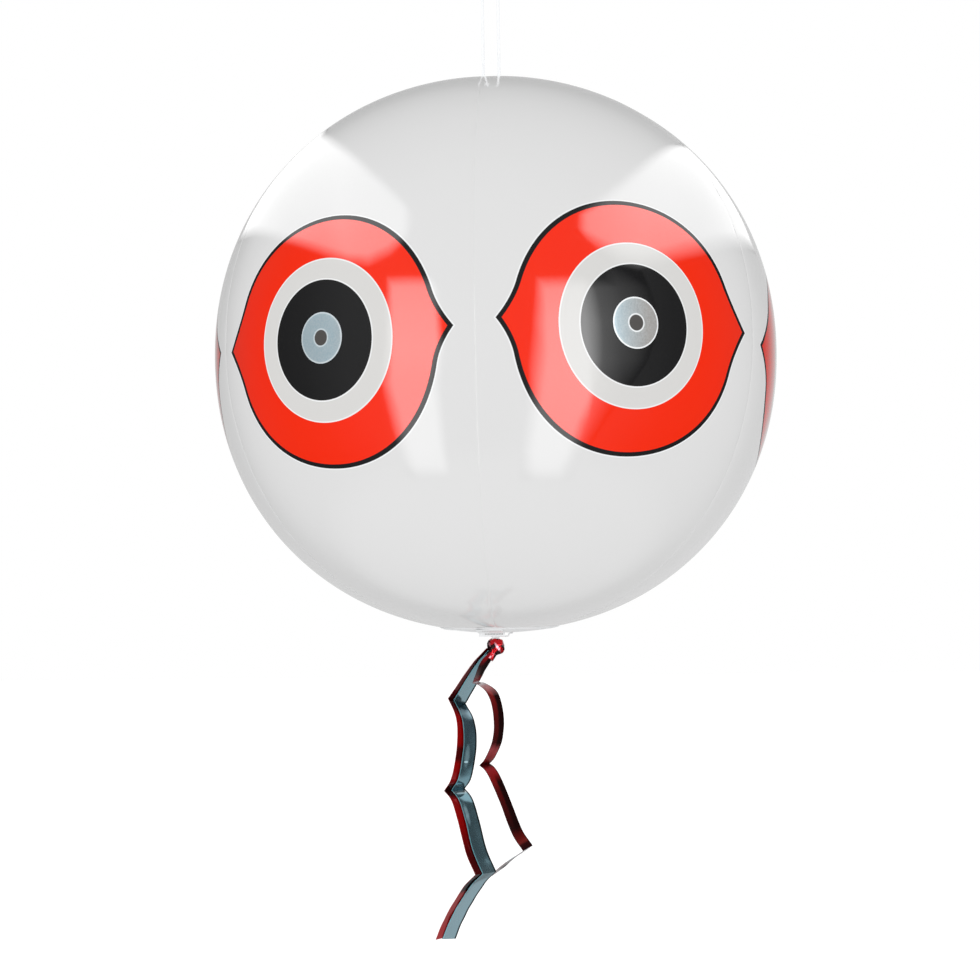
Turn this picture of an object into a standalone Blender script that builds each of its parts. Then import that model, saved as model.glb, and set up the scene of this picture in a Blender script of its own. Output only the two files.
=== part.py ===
# Bird scare balloon: an inflated ball of six welded film gores with scare eyes, hung by a
# doubled cord through a welded strap, with a valve and a tail of creased foil ribbons.
# Metres, +Z up. The front is -Y, where two gores meet. A hook carries the cord at the origin.
import math

import bmesh
import bpy
from mathutils import Matrix, Vector

# Gaps between touching pieces, and how far a cutter overruns what it cuts
clearance = 0.0003
overrun = 0.004

# Ball: the outline is a squared ellipse, turned round the upright axis
ball_diameter = 0.400
ball_height = 0.392
ball_squareness = 2.09
gore_count = 6
gore_columns = 8
gore_rows = 26
film = 0.00025
weld_flange = 0.003
seam_dip = 0.0006
pole_hole_diameter = 0.028

# Round end patches over the points of the gores
patch_diameter = 0.084
patch_film = 0.0003
patch_rings = 4

# Foil pupils stuck on the printed eyes
pupil_diameter = 0.030
pupil_film = 0.0002
pupil_rings = 2
pupil_sides = 20
eye_drop = 0.0113
eye_slip = 0.002
eye_shift = 0.0056

# Hanging strap, welded fore and aft over the top patch
strap_width = 0.007
strap_thickness = 0.0008
strap_length = 0.034
strap_foot = 0.007
strap_crown = 0.011
strap_rise = 0.0085
strap_bend = 0.0016

# Hanging cord: a loop over a hook, down both sides of the strap and under it
cord_diameter = 0.002
strand_spacing = 0.0116
hook_to_pole = 0.112
cord_under_strap = 0.0019
knot_below_hook = 0.0235
knot_length = 0.0085
knot_wraps = 3
knot_wrap_depth = 0.0004
knot_tag = 0.005

# Tail loop, welded across the bottom patch, and the foil ring that goes round it
loop_width = 0.003
loop_thickness = 0.0008
loop_length = 0.019
loop_foot = 0.0026
loop_crown = 0.0124
loop_bend = 0.0009
ring_wall = 0.0007
ring_length = 0.005

# Tail: crumpled foil knot, its gathered neck and three ribbons
tail_offset = -0.003
tail_knot_width = 0.0124
tail_knot_depth = 0.0108
tail_knot_height = 0.0112
neck_length = 0.0092
neck_end_diameter = 0.0036
tail_drop = 0.215
ribbon_width = 0.012
ribbon_film = 0.00025
ribbon_spacing = 0.0011
ribbon_layer = 0.0009
ribbon_offset = 0.0056
fold_steps = 7

# Valve on a rear gore, with its stem pushed in
valve_latitude = math.radians(52)
valve_gore = 3
flange_diameter = 0.020
flange_thickness = 0.001
collar_diameter = 0.0108
collar_rise = 0.0009
stem_diameter = 0.0074
stem_bore = 0.0046
stem_length = 0.0135
stem_lip = 0.0009
stem_lip_length = 0.001
plug_diameter = 0.0094
plug_cap = 0.0012
plug_pin_length = 0.005
plug_tongue_width = 0.0036
plug_tongue_reach = 0.0085
round_sides = 32

ball_radius = ball_diameter / 2
half_height = ball_height / 2
ball_centre = Vector((0, 0, -(hook_to_pole + half_height)))
gore_angle = math.tau / gore_count


# The ball's outline

def meridian(angle, proud=0.0):
    # distance from the axis and height at an angle above the equator, moved out by proud
    across = abs(math.cos(angle))
    upward = abs(math.sin(angle))
    reach = (across ** ball_squareness + upward ** ball_squareness) ** (-1 / ball_squareness)
    radius = ball_radius * reach * across
    height = half_height * reach * upward
    out = (reach * across) ** (ball_squareness - 1) / ball_radius
    up = (reach * upward) ** (ball_squareness - 1) / half_height
    length = math.hypot(out, up)
    side = math.copysign(1, angle)
    return radius + proud * out / length, side * (height + proud * up / length)


def angle_at_radius(radius):
    share = radius / ball_radius
    rise = (1 - share ** ball_squareness) ** (1 / ball_squareness)
    return math.atan2(rise, share)


def angle_at_height(height):
    rise = abs(height) / half_height
    share = (1 - rise ** ball_squareness) ** (1 / ball_squareness)
    return math.copysign(math.atan2(rise, share), height)


def patch_height(radius):
    # height of the patch's outer face above the ball's centre
    return meridian(angle_at_radius(radius), clearance + patch_film)[1]


def heading(azimuth):
    # level direction at an azimuth from the front, positive towards +X
    return Vector((math.sin(azimuth), -math.cos(azimuth), 0))


def on_ball(angle, azimuth, proud=0.0):
    radius, height = meridian(angle, proud)
    return ball_centre + heading(azimuth) * radius + Vector((0, 0, height))


# Building tools

def clear_scene():
    for found in list(bpy.data.objects):
        bpy.data.objects.remove(found, do_unlink=True)


def finish(name, cells, material, sharp=35.0):
    bmesh.ops.recalc_face_normals(cells, faces=cells.faces)
    mesh = bpy.data.meshes.new(name)
    cells.to_mesh(mesh)
    cells.free()
    mesh.shade_smooth()
    mesh.set_sharp_from_angle(angle=math.radians(sharp))
    made = bpy.data.objects.new(name, mesh)
    mesh.materials.append(material)
    bpy.context.scene.collection.objects.link(made)
    return made


def make_material(name, colour, roughness, metallic=0.0):
    made = bpy.data.materials.new(name)
    made.use_nodes = True
    shader = made.node_tree.nodes["Principled BSDF"]
    shader.inputs["Base Color"].default_value = (*colour, 1)
    shader.inputs["Roughness"].default_value = roughness
    shader.inputs["Metallic"].default_value = metallic
    made.diffuse_color = (*colour, 1)
    return made


def join_sheets(name, outer, inner, material):
    # one closed body from two grids of points, rows first, joined round their edges
    cells = bmesh.new()
    front = [[cells.verts.new(point) for point in row] for row in outer]
    back = [[cells.verts.new(point) for point in row] for row in inner]
    rows = len(outer)
    columns = len(outer[0])
    for row in range(rows - 1):
        for column in range(columns - 1):
            for sheet in (front, back):
                low, high = sheet[row], sheet[row + 1]
                cells.faces.new((low[column], low[column + 1], high[column + 1], high[column]))
    edge = [(0, column) for column in range(columns)]
    edge += [(row, columns - 1) for row in range(1, rows)]
    edge += [(rows - 1, column) for column in range(columns - 2, -1, -1)]
    edge += [(row, 0) for row in range(rows - 2, 0, -1)]
    for place, (row, column) in enumerate(edge):
        next_row, next_column = edge[(place + 1) % len(edge)]
        cells.faces.new((front[row][column], front[next_row][next_column],
                         back[next_row][next_column], back[row][column]))
    return finish(name, cells, material)


def join_discs(name, outer, inner, material):
    # one closed body from two round sheets, each a middle point and its rings
    cells = bmesh.new()
    sheets = []
    for middle, rings in (outer, inner):
        centre = cells.verts.new(middle)
        loops = [[cells.verts.new(point) for point in ring] for ring in rings]
        count = len(loops[0])
        for side in range(count):
            after = (side + 1) % count
            cells.faces.new((centre, loops[0][side], loops[0][after]))
            for inside, outside in zip(loops, loops[1:]):
                cells.faces.new((inside[side], outside[side], outside[after], inside[after]))
        sheets.append(loops[-1])
    top, bottom = sheets
    for side in range(len(top)):
        after = (side + 1) % len(top)
        cells.faces.new((top[side], top[after], bottom[after], bottom[side]))
    return finish(name, cells, material)


def turned(name, profile, material, sides=round_sides, closed=False):
    # a profile of (radius, height) points turned round the upright axis
    cells = bmesh.new()
    rings = []
    for radius, height in profile:
        if radius == 0:
            rings.append([cells.verts.new((0, 0, height))])
            continue
        ring = []
        for side in range(sides):
            turn = math.tau * side / sides
            ring.append(cells.verts.new((radius * math.cos(turn), radius * math.sin(turn), height)))
        rings.append(ring)
    pairs = list(zip(rings, rings[1:]))
    if closed:
        pairs.append((rings[-1], rings[0]))
    for low, high in pairs:
        for side in range(sides):
            after = (side + 1) % sides
            if len(low) == 1:
                cells.faces.new((low[0], high[side], high[after]))
            elif len(high) == 1:
                cells.faces.new((low[side], low[after], high[0]))
            else:
                cells.faces.new((low[side], low[after], high[after], high[side]))
    return finish(name, cells, material)


def extruded(name, outline, place, width, material):
    # an outline of flat points, set by place(first, second, across) and drawn out to a width
    cells = bmesh.new()
    near = [cells.verts.new(place(first, second, -width / 2)) for first, second in outline]
    far = [cells.verts.new(place(first, second, width / 2)) for first, second in outline]
    cells.faces.new(near)
    cells.faces.new(far)
    for side in range(len(outline)):
        after = (side + 1) % len(outline)
        cells.faces.new((near[side], near[after], far[after], far[side]))
    return finish(name, cells, material)


def combine(carrier, tool, operation):
    # fuse or cut with Blender's exact Boolean, applied, and drop the tool
    modifier = carrier.modifiers.new(operation.lower(), "BOOLEAN")
    modifier.object = tool
    modifier.operation = operation
    modifier.solver = "EXACT"
    bpy.context.view_layer.update()
    evaluated = carrier.evaluated_get(bpy.context.evaluated_depsgraph_get())
    result = bpy.data.meshes.new_from_object(evaluated)
    carrier.modifiers.clear()
    carrier.data = result
    bpy.data.objects.remove(tool, do_unlink=True)
    carrier.data.set_sharp_from_angle(angle=math.radians(35.0))
    return carrier


def rounded_path(corners, radius, steps=4):
    # an open line of flat points with arcs at its inner corners
    points = [corners[0]]
    for before, corner, after in zip(corners, corners[1:], corners[2:]):
        here = Vector(corner)
        back = (Vector(before) - here).normalized()
        ahead = (Vector(after) - here).normalized()
        half = back.angle(ahead) / 2
        cut = radius / math.tan(half)
        start = here + back * cut
        end = here + ahead * cut
        middle = here + (back + ahead).normalized() * (radius / math.sin(half))
        for step in range(steps + 1):
            point = start.lerp(end, step / steps)
            points.append(tuple(middle + (point - middle).normalized() * radius))
    points.append(corners[-1])
    return points


def thickened(path, thickness):
    # the closed outline of a strip that follows a flat path
    outer = []
    inner = []
    last = len(path) - 1
    for place, point in enumerate(path):
        before = Vector(path[max(place - 1, 0)])
        after = Vector(path[min(place + 1, last)])
        along = (after - before).normalized()
        side = Vector((-along.y, along.x)) * (thickness / 2)
        outer.append(tuple(Vector(point) + side))
        inner.append(tuple(Vector(point) - side))
    return outer + inner[::-1]


def smooth_route(points, spacing):
    # points read at about equal spacing from a smooth curve through a route's own points
    ends = [points[0] * 2 - points[1], *points, points[-1] * 2 - points[-2]]
    route = []
    for before, start, end, after in zip(ends, ends[1:], ends[2:], ends[3:]):
        steps = max(1, round((end - start).length / spacing))
        for step in range(steps):
            share = step / steps
            pull = (end - before) * share
            bend = (before * 2 - start * 5 + end * 4 - after) * share ** 2
            twist = (start * 3 - before - end * 3 + after) * share ** 3
            route.append(start + (pull + bend + twist) / 2)
    route.append(points[-1].copy())
    return route


# Ball pieces

def gore_sheet(centre, sink):
    # rows of points down one gore: a folded flange, the printed panel and the other flange
    end = angle_at_radius(pole_hole_diameter / 2)
    rows = []
    for row in range(gore_rows + 1):
        angle = end * (2 * row / gore_rows - 1)
        radius, height = meridian(angle, -sink)
        deep_radius, deep_height = meridian(angle, -weld_flange)
        points = []
        for column in range(gore_columns + 1):
            share = 2 * column / gore_columns - 1
            dipped = radius - seam_dip * radius / ball_radius * share ** 4
            azimuth = centre + share * gore_angle / 2
            point = heading(azimuth) * dipped
            if abs(share) == 1:
                inward = heading(azimuth + math.pi / 2) * (-share * (clearance / 2 + sink))
                deep = heading(azimuth) * (deep_radius - radius + dipped) + inward
                point += inward
                flange = ball_centre + deep + Vector((0, 0, deep_height))
            point += ball_centre + Vector((0, 0, height))
            if share == -1:
                points.append(flange)
            points.append(point)
            if share == 1:
                points.append(flange)
        rows.append(points)
    return rows


def make_gores(material):
    gores = []
    for index in range(gore_count):
        centre = (index + 0.5) * gore_angle
        name = f"gore_{index + 1}"
        gores.append(join_sheets(name, gore_sheet(centre, 0), gore_sheet(centre, film), material))
    return gores


def patch_sheet(side, proud):
    rim = angle_at_radius(patch_diameter / 2)
    count = gore_columns * gore_count
    rings = []
    for ring in range(1, patch_rings + 1):
        angle = math.pi / 2 + (rim - math.pi / 2) * ring / patch_rings
        rings.append([on_ball(side * angle, math.tau * place / count, proud) for place in range(count)])
    middle = ball_centre + Vector((0, 0, side * (half_height + proud)))
    return middle, rings


def make_patch(name, side, material):
    outer = patch_sheet(side, clearance + patch_film)
    inner = patch_sheet(side, clearance)
    return join_discs(name, outer, inner, material)


def pupil_sheet(azimuth, drop, proud):
    middle_angle = angle_at_height(-drop)
    rings = []
    for ring in range(1, pupil_rings + 1):
        reach = pupil_diameter / 2 * ring / pupil_rings
        points = []
        for side in range(pupil_sides):
            turn = math.tau * side / pupil_sides
            angle = angle_at_height(reach * math.sin(turn) - drop)
            swing = reach * math.cos(turn) / ball_radius
            points.append(on_ball(angle, azimuth + swing, proud))
        rings.append(points)
    return on_ball(middle_angle, azimuth, proud), rings


def make_pupils(material):
    # the eyes are printed as mirrored pairs, so each stands off its gore's middle towards the
    # pair's common seam, and every other one a little higher
    for index in range(gore_count):
        side = 1 - 2 * (index % 2)
        azimuth = (index + 0.5) * gore_angle - side * eye_shift / ball_radius
        drop = eye_drop - side * eye_slip
        outer = pupil_sheet(azimuth, drop, clearance + pupil_film)
        inner = pupil_sheet(azimuth, drop, clearance)
        join_discs(f"foil_pupil_{index + 1}", outer, inner, material)


# Welded straps

def bridge_outline(length, foot, crown, rise, thickness, bend):
    # a strip with two feet that follow the patch and a raised flat crown
    def seat(reach):
        return patch_height(reach) + clearance + thickness / 2

    top = half_height + clearance + patch_film + rise + thickness / 2
    tip = length / 2
    heel = tip - foot
    middle = tip - foot / 2
    right = [(tip, seat(tip)), (middle, seat(middle)), (heel, seat(heel)), (crown / 2, top)]
    left = [(-reach, height) for reach, height in reversed(right)]
    path = rounded_path([right[1], right[2], right[3], *left[:1], *left[1:3]], bend)
    return thickened([right[0], *path, left[3]], thickness)


def make_hang_strap(material):
    outline = bridge_outline(strap_length, strap_foot, strap_crown, strap_rise,
                             strap_thickness, strap_bend)

    def place(along, height, across):
        return ball_centre + Vector((across, along, height))

    return extruded("hanging_strap", outline, place, strap_width, material)


def loop_rise():
    # room over the loop's strip for the foil ring that swings round it
    return ring_inner() + ring_wall + clearance - loop_thickness / 2


def ring_inner():
    return math.hypot(loop_width, loop_thickness) / 2 + clearance


def tail_pivot():
    drop = half_height + clearance + patch_film + loop_rise() + loop_thickness / 2
    return ball_centre + Vector((tail_offset, 0, -drop))


def make_tail_loop(material):
    outline = bridge_outline(loop_length, loop_foot, loop_crown, loop_rise(),
                             loop_thickness, loop_bend)

    def place(along, height, across):
        return ball_centre + Vector((along, across, -height))

    return extruded("tail_loop", outline, place, loop_width, material)


# Hanging cord

def strap_underside():
    return -hook_to_pole + clearance + patch_film + strap_rise


def cord_low():
    return strap_underside() - cord_under_strap


def knot_centre():
    return Vector((-strand_spacing / 2, 0, -knot_below_hook))


def cord_route():
    # from under the knot, down, under the strap, up, over the hook and down to the knot again
    half = strand_spacing / 2
    low = cord_low()
    knot_half = knot_length / 2 + clearance
    shares = ((-1, 1.9), (-1, 1.2), (-0.97, 0.72), (-0.76, 0.25), (-0.36, 0.01), (0, 0),
              (0.36, 0.01), (0.76, 0.25), (0.97, 0.72), (1, 1.2), (1, 1.9))
    under = [Vector((half * across, 0, low + half * up)) for across, up in shares]
    over_shares = ((1, -0.45), (0.97, 0.25), (0.71, 0.71), (0.37, 0.93), (0, 1),
                   (-0.37, 0.93), (-0.71, 0.71), (-0.97, 0.25), (-1, -0.45))
    crest = cord_diameter / 2 - half
    over = [Vector((half * across, 0, crest + half * up)) for across, up in over_shares]
    start = knot_centre() - Vector((0, 0, knot_half))
    end = knot_centre() + Vector((0, 0, knot_half))
    return [start, *under, *over, end]


def make_cord(material):
    curve = bpy.data.curves.new("hanging_cord", "CURVE")
    curve.dimensions = "3D"
    curve.bevel_depth = cord_diameter / 2
    curve.bevel_resolution = 2
    curve.use_fill_caps = True
    route = smooth_route(cord_route(), cord_diameter * 2.4)
    spline = curve.splines.new("POLY")
    spline.points.add(len(route) - 1)
    for point, place in zip(spline.points, route):
        point.co = (*place, 1)
    curve.materials.append(material)
    cord = bpy.data.objects.new("hanging_cord", curve)
    bpy.context.scene.collection.objects.link(cord)
    return cord


def make_cord_knot(material):
    # a barrel knot: wraps side by side, and two short tag ends beside the strands
    wrap_radius = cord_diameter * 1.45
    body = knot_length - cord_diameter / 2
    profile = [(0, -knot_length / 2), (cord_diameter * 0.6, -knot_length / 2)]
    steps = 6 * knot_wraps
    for step in range(steps + 1):
        share = step / steps
        swell = abs(math.sin(math.pi * share * knot_wraps))
        radius = wrap_radius - knot_wrap_depth * 2 * (1 - swell)
        profile.append((radius, body * (share - 0.5)))
    profile += [(cord_diameter * 0.6, knot_length / 2), (0, knot_length / 2)]
    knot = turned("cord_knot", profile, material, sides=16)
    for side in (-1, 1):
        radius = cord_diameter / 2
        rod = [(0, 0), (radius, 0), (radius, knot_tag), (0, knot_tag)]
        tag = turned("tag", rod, material, sides=8)
        lean = Matrix.Rotation(math.radians(28) * side, 4, "Y")
        lift = Vector((-cord_diameter * 0.95, 0, side * body * 0.3))
        flip = Matrix.Rotation(math.pi if side < 0 else 0, 4, "Y")
        tag.data.transform(Matrix.Translation(lift) @ lean.inverted() @ flip)
        combine(knot, tag, "UNION")
    knot.location = knot_centre()
    return knot


# Tail

def crumple(direction):
    # how far a fold of the crumpled foil stands out or in, for a direction from the knot's middle
    turn = math.atan2(direction.y, direction.x)
    lean = math.asin(max(-1, min(1, direction.z)))
    folds = math.sin(3 * turn + 2 * lean) * math.cos(2 * lean)
    creases = math.sin(5 * turn - 3 * lean + 1) * math.cos(lean)
    return 1 + 0.05 * folds + 0.035 * creases


def tail_knot_centre():
    top = ring_inner() + ring_wall / 2
    return tail_pivot() - Vector((0, 0, top + tail_knot_height / 2))


def neck_heading():
    return Vector((-0.50, 0, -0.86)).normalized()


def make_tail_knot(material):
    cells = bmesh.new()
    bmesh.ops.create_uvsphere(cells, u_segments=14, v_segments=9, radius=1)
    for vertex in cells.verts:
        swell = crumple(vertex.co.normalized())
        vertex.co.x *= tail_knot_width / 2 * swell
        vertex.co.y *= tail_knot_depth / 2 * swell
        vertex.co.z *= tail_knot_height / 2 * swell
        vertex.co += tail_knot_centre() - tail_pivot()
    knot = finish("tail_knot", cells, material, sharp=12.0)

    inner = ring_inner()
    outer = inner + ring_wall
    half = ring_length / 2
    band = [(inner, -half), (outer, -half), (outer, half), (inner, half)]
    ring = turned("ring", band, material, sides=24, closed=True)
    ring.data.transform(Matrix.Rotation(math.pi / 2, 4, "Y"))
    combine(knot, ring, "UNION")

    root = neck_end_diameter * 0.9
    gather = [(0, 0), (root, 0), (neck_end_diameter / 2, neck_length), (0, neck_length)]
    neck = turned("neck", gather, material, sides=10)
    turn = Vector((0, 0, 1)).rotation_difference(neck_heading()).to_matrix().to_4x4()
    neck.data.transform(Matrix.Translation(tail_knot_centre() - tail_pivot()) @ turn)
    combine(knot, neck, "UNION")
    knot.location = tail_pivot()
    return knot


# Each ribbon's centre line from the neck to its end, as shares of the tail's drop from the knot's
# middle, in stretches that meet at a sharp fold
front_fold_shares = (
    ((-0.060, -0.015, -0.075), (-0.132, 0.068, -0.189)),
    ((-0.132, 0.068, -0.189), (-0.098, 0.030, -0.247), (-0.093, 0.024, -0.333),
     (-0.112, 0.045, -0.435), (-0.139, 0.076, -0.482)),
    ((-0.139, 0.076, -0.482), (-0.111, 0.044, -0.511), (-0.088, 0.017, -0.576),
     (-0.062, -0.012, -0.668), (-0.028, -0.052, -0.732)),
    ((-0.028, -0.052, -0.732), (-0.068, -0.006, -0.776), (-0.122, 0.056, -0.862),
     (-0.156, 0.096, -0.928), (-0.181, 0.125, -0.989)),
)
side_fold_shares = (
    ((-0.038, -0.036, -0.057), (-0.067, -0.022, -0.118)),
    ((-0.067, -0.022, -0.118), (-0.044, -0.036, -0.123), (-0.008, -0.060, -0.153),
     (0.010, -0.072, -0.221), (0.006, -0.069, -0.296), (-0.019, -0.053, -0.357),
     (-0.040, -0.039, -0.384)),
    ((-0.040, -0.039, -0.384), (-0.020, -0.052, -0.400), (0.003, -0.067, -0.440),
     (0.033, -0.087, -0.509), (0.067, -0.109, -0.591), (0.102, -0.131, -0.638)),
    ((0.102, -0.131, -0.638), (0.062, -0.079, -0.673), (0.031, -0.028, -0.701),
     (-0.009, 0.028, -0.744), (-0.046, 0.093, -0.781)),
)
# Which way each ribbon's width lies at the start of each stretch and at its end
front_width_lines = ((0, 1, 0), (0.755, 0.656, 0), (0.755, 0.656, 0), (0.755, 0.656, 0),
                     (0.755, 0.656, 0))
side_width_lines = ((0, 1, 0), (0.545, 0.839, 0), (0.545, 0.839, 0), (0.50, 0.82, 0.25),
                    (0.585, 0.654, 0.479))
neck_width_share = 0.30


def ribbon_sheet(stretches, width_lines, start, shift, lift):
    # rows of two edge points, lifted off the ribbon's middle face by lift
    centre = tail_knot_centre()
    rows = []
    for index, stretch in enumerate(stretches):
        points = [centre + Vector(share) * tail_drop + shift for share in stretch]
        if index == 0:
            points.insert(0, start)
        spacing = sum((b - a).length for a, b in zip(points, points[1:])) / fold_steps
        route = smooth_route(points, spacing)
        first = Vector(width_lines[index])
        last = Vector(width_lines[index + 1])
        for step, point in enumerate(route):
            share = step / (len(route) - 1)
            line = first.lerp(last, share).normalized()
            wide = neck_width_share + (1 - neck_width_share) * math.sqrt(share) if index == 0 else 1
            before = route[max(step - 1, 0)]
            after = route[min(step + 1, len(route) - 1)]
            face = (after - before).cross(line).normalized()
            rows.append((point, line * wide * ribbon_width / 2, face))
    merged = []
    for place, (point, reach, face) in enumerate(rows):
        if merged and (point - merged[-1][0]).length < clearance:
            meet = (face + merged[-1][2]).normalized()
            merged[-1] = (point, reach, meet)
            continue
        merged.append((point, reach, face))
    return [[point - reach + face * lift, point + face * lift, point + reach + face * lift]
            for point, reach, face in merged]


def make_ribbon(name, stretches, width_lines, start, shift, material):
    outer = ribbon_sheet(stretches, width_lines, start, shift, ribbon_film / 2)
    inner = ribbon_sheet(stretches, width_lines, start, shift, -ribbon_film / 2)
    return join_sheets(name, outer, inner, material)


def make_ribbons(material):
    behind = Vector((-0.656, 0.755, 0))
    along = Vector((0.755, 0.656, 0))
    neck_tip = tail_knot_centre() + neck_heading() * (neck_length + clearance * 2)
    layer = neck_heading().cross(Vector((0, 1, 0))) * ribbon_layer
    none = Vector((0, 0, 0))
    back = behind * ribbon_spacing - along * ribbon_offset
    make_ribbon("ribbon_front", front_fold_shares, front_width_lines, neck_tip, none, material)
    make_ribbon("ribbon_back", front_fold_shares, front_width_lines, neck_tip - layer, back, material)
    make_ribbon("ribbon_side", side_fold_shares, side_width_lines, neck_tip + layer, none, material)


# Valve

def valve_frame():
    # position on the outside of the gore, with the local Z pointing straight out
    azimuth = (valve_gore - 0.5) * gore_angle
    place = on_ball(valve_latitude, azimuth)
    out = on_ball(valve_latitude, azimuth, flange_thickness) - place
    turn = Vector((0, 0, 1)).rotation_difference(out.normalized())
    return Matrix.Translation(place) @ turn.to_matrix().to_4x4()


def valve_base():
    return clearance * 1.2


def collar_top():
    return valve_base() + flange_thickness + collar_rise


def cut_valve_hole(gore, material):
    hole = stem_diameter / 2 + clearance
    rod = [(0, -overrun), (hole, -overrun), (hole, overrun), (0, overrun)]
    cutter = turned("valve_cutter", rod, material)
    cutter.data.transform(valve_frame())
    return combine(gore, cutter, "DIFFERENCE")


def make_valve(material):
    bore = stem_diameter / 2 + clearance
    base = valve_base()
    top = base + flange_thickness
    rim = flange_diameter / 2
    collar = collar_diameter / 2
    bevel = flange_thickness * 0.4
    flange = turned("valve_flange", [
        (bore, base), (rim, base), (rim, top - bevel), (rim - bevel, top), (collar, top),
        (collar - bevel / 2, collar_top()), (bore, collar_top())], material, closed=True)
    flange.matrix_world = valve_frame()

    outside = stem_diameter / 2
    inside = stem_bore / 2
    end = collar_top() - stem_length
    lip = outside + stem_lip
    stem = turned("valve_stem", [
        (inside, end), (lip, end), (lip, end + stem_lip_length), (outside, end + stem_lip_length),
        (outside, collar_top()), (inside, collar_top())], material, closed=True)
    stem.matrix_world = valve_frame()

    seat = collar_top() + clearance
    pin = inside - clearance
    cap = plug_diameter / 2
    edge = plug_cap * 0.35
    plug = turned("valve_plug", [
        (0, seat - plug_pin_length), (pin * 0.8, seat - plug_pin_length),
        (pin, seat - plug_pin_length + pin * 0.4), (pin, seat), (cap, seat),
        (cap, seat + plug_cap - edge), (cap - edge, seat + plug_cap), (0, seat + plug_cap)], material)
    half = plug_tongue_width / 2
    root = plug_diameter / 4
    turns = [math.pi * step / 8 - math.pi / 2 for step in range(9)]
    tongue = [(root, -half)]
    tongue += [(plug_tongue_reach - half + half * math.cos(turn), half * math.sin(turn)) for turn in turns]
    tongue += [(root, half)]

    def place(along, across, height):
        return Vector((along, across, seat + plug_cap * 0.55 + height))

    tab = extruded("tongue", tongue, place, plug_cap * 0.6, material)
    combine(plug, tab, "UNION")
    plug.matrix_world = valve_frame()


def main():
    clear_scene()
    white_film = make_material("white film", (0.86, 0.87, 0.88), 0.18)
    clear_film = make_material("clear film", (0.80, 0.83, 0.85), 0.15)
    pupil_foil = make_material("pupil foil", (0.62, 0.67, 0.70), 0.25, 1.0)
    cord_fibre = make_material("cord fibre", (0.80, 0.84, 0.88), 0.30)
    red_foil = make_material("red foil", (0.55, 0.02, 0.03), 0.20, 1.0)
    silver_foil = make_material("silver foil", (0.45, 0.56, 0.60), 0.20, 1.0)
    valve_vinyl = make_material("valve vinyl", (0.83, 0.85, 0.86), 0.30)

    gores = make_gores(white_film)
    cut_valve_hole(gores[valve_gore - 1], white_film)
    make_patch("top_patch", 1, clear_film)
    make_patch("bottom_patch", -1, clear_film)
    make_pupils(pupil_foil)
    make_hang_strap(clear_film)
    make_tail_loop(clear_film)
    make_valve(valve_vinyl)
    make_cord(cord_fibre)
    make_cord_knot(cord_fibre)
    make_tail_knot(red_foil)
    make_ribbons(silver_foil)


main()
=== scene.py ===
# Bird scare balloon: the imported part, dressed for its picture
import math
import random

import bmesh
import bpy
import numpy as np
from mathutils import Matrix, Vector, noise


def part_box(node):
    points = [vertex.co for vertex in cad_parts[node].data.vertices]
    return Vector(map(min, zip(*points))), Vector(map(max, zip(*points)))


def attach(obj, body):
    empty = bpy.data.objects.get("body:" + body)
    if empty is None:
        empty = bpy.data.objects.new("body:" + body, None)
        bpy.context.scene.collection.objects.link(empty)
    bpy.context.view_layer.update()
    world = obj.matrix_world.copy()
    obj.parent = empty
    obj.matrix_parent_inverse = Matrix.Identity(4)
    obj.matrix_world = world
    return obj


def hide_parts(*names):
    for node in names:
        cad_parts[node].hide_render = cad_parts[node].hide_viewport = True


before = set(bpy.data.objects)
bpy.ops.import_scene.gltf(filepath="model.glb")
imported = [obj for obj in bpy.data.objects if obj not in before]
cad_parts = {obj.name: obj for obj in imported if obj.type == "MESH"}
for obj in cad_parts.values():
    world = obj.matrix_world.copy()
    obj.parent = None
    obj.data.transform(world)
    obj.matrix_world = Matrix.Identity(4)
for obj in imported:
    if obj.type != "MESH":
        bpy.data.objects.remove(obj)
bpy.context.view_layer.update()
print("frame loaded")

# The ball, read from the frame: its outline is a squared ellipse turned round the upright axis
seatGap = 0.0006  # how far the patches' outer faces stand off the film
clearance = 0.0003  # between pieces that lie on each other
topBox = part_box("top_patch")
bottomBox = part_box("bottom_patch")
ball = {
    "radius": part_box("gore_2")[1].x,
    "halfHeight": (topBox[1].z - bottomBox[0].z) / 2 - seatGap,
    "centre": Vector((0, 0, (topBox[1].z + bottomBox[0].z) / 2)),
    "squareness": 2.09,
    "gores": 6,
    "poleHole": 0.014,
}
goreAngle = math.tau / ball["gores"]

# The printed eye, in metres from the middle of its rings; +x is the side away from its twin
# A pair is a size on the side towards the twin and on the side away, or below and above
eye = {
    "drop": 0.0113,  # below the ball's middle
    "slip": 0.002,  # every other eye a little higher
    "shift": 0.0056,  # towards the seam that the twins share
    "wide": (0.0750, 0.0800),
    "tall": (0.0773, 0.0750),
    "tip": (0.0082, 0.0140),
    "tipWidth": (0.022, 0.028),
    "tipHeight": (0.0020, 0.0047),
    "whiteRing": 0.0504,
    "blackDisc": 0.0367,
    "outline": 0.0028,
    "foil": 0.0155,
    "foilPlace": (-0.0007, 0.00095),
    "dot": 0.0047,
    "ringPlace": (0.0007, -0.0001),
    "discPlace": (0.0004, -0.0001),
    "fieldDrop": -0.0003,
}


# Node trees

def pick(sockets, key):
    # a socket by its place, or by its name among those in use
    if isinstance(key, int):
        return sockets[key]
    return next(found for found in sockets if found.enabled and key in (found.name, found.identifier))


def onOne(operation):
    return lambda wire: wire.maths(operation, wire)


def onTwo(operation, swapped=False):
    # a Math node between a wire and another value
    def apply(wire, other):
        return wire.maths(operation, other, wire) if swapped else wire.maths(operation, wire, other)
    return apply


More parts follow.
